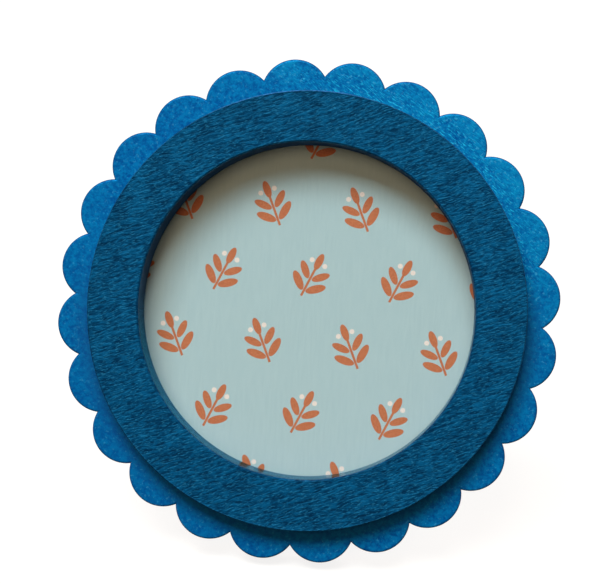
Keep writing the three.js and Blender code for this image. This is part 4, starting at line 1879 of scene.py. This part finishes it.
@dataclass
class Studio:
    """Camera, lamps, floor and white surround.

    A span of the surround is a pair of cosines to the direction that it is measured from.
    """

    distance: float = 0.60
    yaw: float = math.radians(3.4)
    pitch: float = math.radians(-0.2)
    roll: float = math.radians(4.3)
    pixels_per_metre: float = 3310.0
    image_width: float = 604.0
    off_right: float = 5.45
    off_down: float = 18.65
    plate_depth: float = 8.0 * MM
    sensor: float = 36.0
    nearest: float = 0.01
    key_tilt: float = math.radians(39.5)
    key_bearing: float = math.radians(107)
    key_distance: float = 6.0
    key_width: float = math.radians(36)
    key_height: float = math.radians(25)
    key_level: float = 3.34
    key_colour: Point = (0.87, 1.0, 1.1)
    front_tilt: float = math.radians(5.8)
    front_bearing: float = math.radians(140)
    front_angle: float = math.radians(25)
    front_power: float = 0.97
    front_colour: Point = (1.0, 0.66, 0.43)
    sky_tilt: float = math.radians(48)
    sky_bearing: float = math.radians(75)
    sky_power: float = 0.27
    sky_span: Pair = (0.45, 0.97)
    sky_above: Pair = (0.35, 0.6)
    rear_tilt: float = math.radians(127)
    rear_bearing: float = math.radians(75)
    rear_power: float = 1.5
    rear_span: Pair = (0.3, 0.95)
    rear_side: Pair = (-0.25, 0.0)
    rear_colour: Colour = WHITE
    fill_low: float = 0.006
    fill_back: float = 0.55
    fill_span: Pair = (-0.8, -0.2)
    fill_colour: Colour = (1.0, 0.66, 0.42, 1.0)
    mirror_share: float = 0.5
    mirror_low: float = 0.04
    mirror_behind: Pair = (-0.3, 0.0)
    mirror_rear: Pair = (0.2, 0.9)
    mirror_above: Pair = (0.2, 0.8)
    flag_span: Pair = (0.55, 0.9)
    flag_share: Pair = (1.0, 0.06)
    floor_size: float = 8.0
    floor_dim: float = 0.12
    floor_colour: Colour = (0.24, 0.21, 0.18, 1.0)
    floor_glow: float = 0.84
    floor_rough: float = 0.9

    def camera(self) -> None:
        """Place the camera in front of the face."""
        turn = FACE.turn().to_3x3()
        ahead = math.cos(self.yaw) * math.cos(self.pitch)
        view = turn @ Vector((math.sin(self.yaw), math.sin(self.pitch), ahead))
        view.normalize()
        up = turn @ Vector((-math.sin(self.roll), math.cos(self.roll), 0))
        right = up.cross(view).normalized()
        up = view.cross(right).normalized()
        middle = FACE.matrix() @ Vector((0, 0, -self.plate_depth))
        target = middle + (up * self.off_down - right * self.off_right) / self.pixels_per_metre
        data = bpy.data.cameras.new("camera")
        data.sensor_width = self.sensor
        data.lens = self.sensor * self.distance * self.pixels_per_metre / self.image_width
        data.clip_start = self.nearest
        camera = bpy.data.objects.new("camera", data)
        bpy.context.scene.collection.objects.link(camera)
        axes = Matrix((right, up, view)).transposed().to_4x4()
        camera.matrix_world = Matrix.Translation(target + view * self.distance) @ axes
        bpy.context.scene.camera = camera

    @staticmethod
    def _way(tilt: float, bearing: float) -> Vector:
        """Give a direction away from the face.

        Args:
            tilt: its angle from straight out of the face.
            bearing: the way it tilts, from the right of the face.

        Returns:
            The direction in the row frame.
        """
        reach = math.sin(tilt)
        flat = Vector((reach * math.cos(bearing), reach * math.sin(bearing), math.cos(tilt)))
        return FACE.turn().to_3x3() @ flat

    @staticmethod
    def _hang(data: bpy.types.Light, way: Vector, colour: Point) -> bpy.types.Object:
        """Hang a lamp that points at the middle of the face.

        Args:
            data: the lamp's light.
            way: the way from the face to it.
            colour: its colour.

        Returns:
            The lamp.
        """
        data.color = colour
        lamp = bpy.data.objects.new(data.name, data)
        bpy.context.scene.collection.objects.link(lamp)
        lamp.location = FACE.centre() + way
        lamp.rotation_euler = way.to_track_quat("Z", "Y").to_euler()
        return lamp

    def key(self) -> None:
        """Hang the main light, a wide soft box above the face."""
        data = bpy.data.lights.new("key", "AREA")
        data.shape = "RECTANGLE"
        data.size = 2 * self.key_distance * math.tan(self.key_width / 2)
        data.size_y = 2 * self.key_distance * math.tan(self.key_height / 2)
        data.energy = math.pi * self.key_distance**2 * self.key_level
        self._hang(data, self.key_distance * self._way(self.key_tilt, self.key_bearing), self.key_colour)

    def front(self) -> None:
        """Hang a weak warm light near the lens, kept out of the glass and of reflections."""
        data = bpy.data.lights.new("front", "SUN")
        data.angle = self.front_angle
        data.energy = self.front_power
        lamp = self._hang(data, self._way(self.front_tilt, self.front_bearing), self.front_colour)
        lamp.visible_glossy = False
        lamp.visible_transmission = False

    @staticmethod
    def _mirrored(desk: NodeDesk, path: bpy.types.Node) -> Socket:
        """Mask rays that a mirror or a glass sends on."""
        return desk.math("MAXIMUM", path.outputs["Is Glossy Ray"], path.outputs["Is Transmission Ray"])

    def floor(self) -> None:
        """Lay a pale floor that keeps the shadow."""
        Bench.clear()
        bpy.ops.mesh.primitive_plane_add(size=self.floor_size, location=(0, 0, 0))
        floor = Bench.named("floor")
        material = bpy.data.materials.new("pale_floor")
        material.use_nodes = True
        desk = NodeDesk(material.node_tree)
        shader = material.node_tree.nodes["Principled BSDF"]
        shader.inputs["Roughness"].default_value = self.floor_rough
        shader.inputs["Specular IOR Level"].default_value = 0.0
        shader.inputs["Emission Color"].default_value = WHITE
        path = desk.add("ShaderNodeLightPath")
        dim = tuple(level * self.floor_dim for level in self.floor_colour[:3]) + (1.0,)
        colour = desk.blend(path.outputs["Is Diffuse Ray"], self.floor_colour, dim)
        desk.feed(shader.inputs["Base Color"], colour)
        gloss = desk.product(self._mirrored(desk, path), 2 * self.mirror_low)
        seen = desk.math("MAXIMUM", path.outputs["Is Camera Ray"], gloss)
        desk.feed(shader.inputs["Emission Strength"], desk.product(seen, self.floor_glow))
        floor.data.materials.append(material)

    def surround(self) -> None:
        """Light the room evenly and show it white, with a dark flag round the lens for reflections."""
        world = bpy.data.worlds.new("surround")
        bpy.context.scene.world = world
        world.use_nodes = True
        desk = NodeDesk(world.node_tree)
        background = world.node_tree.nodes["Background"]
        path = desk.add("ShaderNodeLightPath")
        way = desk.add("ShaderNodeTexCoord").outputs["Generated"]
        facing = desk.along(way, FACE.normal())
        above = desk.along(way, self._way(self.key_tilt, self.key_bearing))
        rear = desk.along(way, self._way(self.rear_tilt, self.rear_bearing))
        aside = desk.along(way, self._way(self.sky_tilt, self.sky_bearing))
        high = desk.along(way, FACE.turn().to_3x3() @ Vector((0, 1, 0)))
        back = desk.mapped(facing, self.rear_side, FALLING)
        behind = desk.mapped(facing, self.mirror_behind, (self.mirror_share, self.mirror_low))
        behind = desk.math("MAXIMUM", behind, desk.product(desk.mapped(rear, self.mirror_rear), back))
        mirrored = desk.mapped(above, self.mirror_above, (0.0, self.mirror_share))
        mirrored = desk.math("MAXIMUM", behind, mirrored)
        mirrored = desk.product(mirrored, desk.mapped(facing, self.flag_span, self.flag_share))
        gloss = self._mirrored(desk, path)
        lens = path.outputs["Is Camera Ray"]
        seen = desk.math("MAXIMUM", lens, desk.product(gloss, mirrored))
        spread = desk.inverse(desk.math("MAXIMUM", lens, gloss))
        sky = desk.mapped(aside, self.sky_span, (0.0, self.sky_power))
        sky = desk.product(sky, desk.mapped(high, self.sky_above))
        lobe = desk.product(desk.mapped(rear, self.rear_span, (0.0, self.rear_power)), back)
        shade = desk.math("ADD", lobe, desk.mapped(facing, self.fill_span, (self.fill_back, 0.0)))
        background.inputs["Color"].default_value = WHITE
        desk.feed(background.inputs["Strength"], seen)
        glow = background.outputs["Background"]
        lights = (
            (self.key_colour + (1.0,), sky),
            (self.fill_colour, self.fill_low),
            (self.rear_colour, shade),
        )
        for colour, level in lights:
            light = desk.add("ShaderNodeBackground")
            light.inputs["Color"].default_value = colour
            desk.feed(light.inputs["Strength"], desk.product(spread, level))
            both = desk.add("ShaderNodeAddShader")
            desk.feed(both.inputs[0], glow)
            desk.feed(both.inputs[1], light.outputs["Background"])
            glow = both.outputs["Shader"]
        desk.feed(world.node_tree.nodes["World Output"].inputs["Surface"], glow)

    def build(self) -> None:
        """Set up the whole studio."""
        bpy.context.scene.view_settings.view_transform = "Standard"
        self.camera()
        self.key()
        self.front()
        self.floor()
        self.surround()


def main() -> None:
    """Build the frame's sub-assemblies in order."""
    logging.basicConfig(level=logging.INFO, format="%(name)s: %(message)s")
    Studio().build()
    finishes = Finishes()
    for part in (ScallopedPlate, RaisedRing, PictureStack, TurnButtons, EaselHinge, EaselLeg):
        part(finishes).build()
    Bench.clear()


if __name__ == "__main__":
    main()
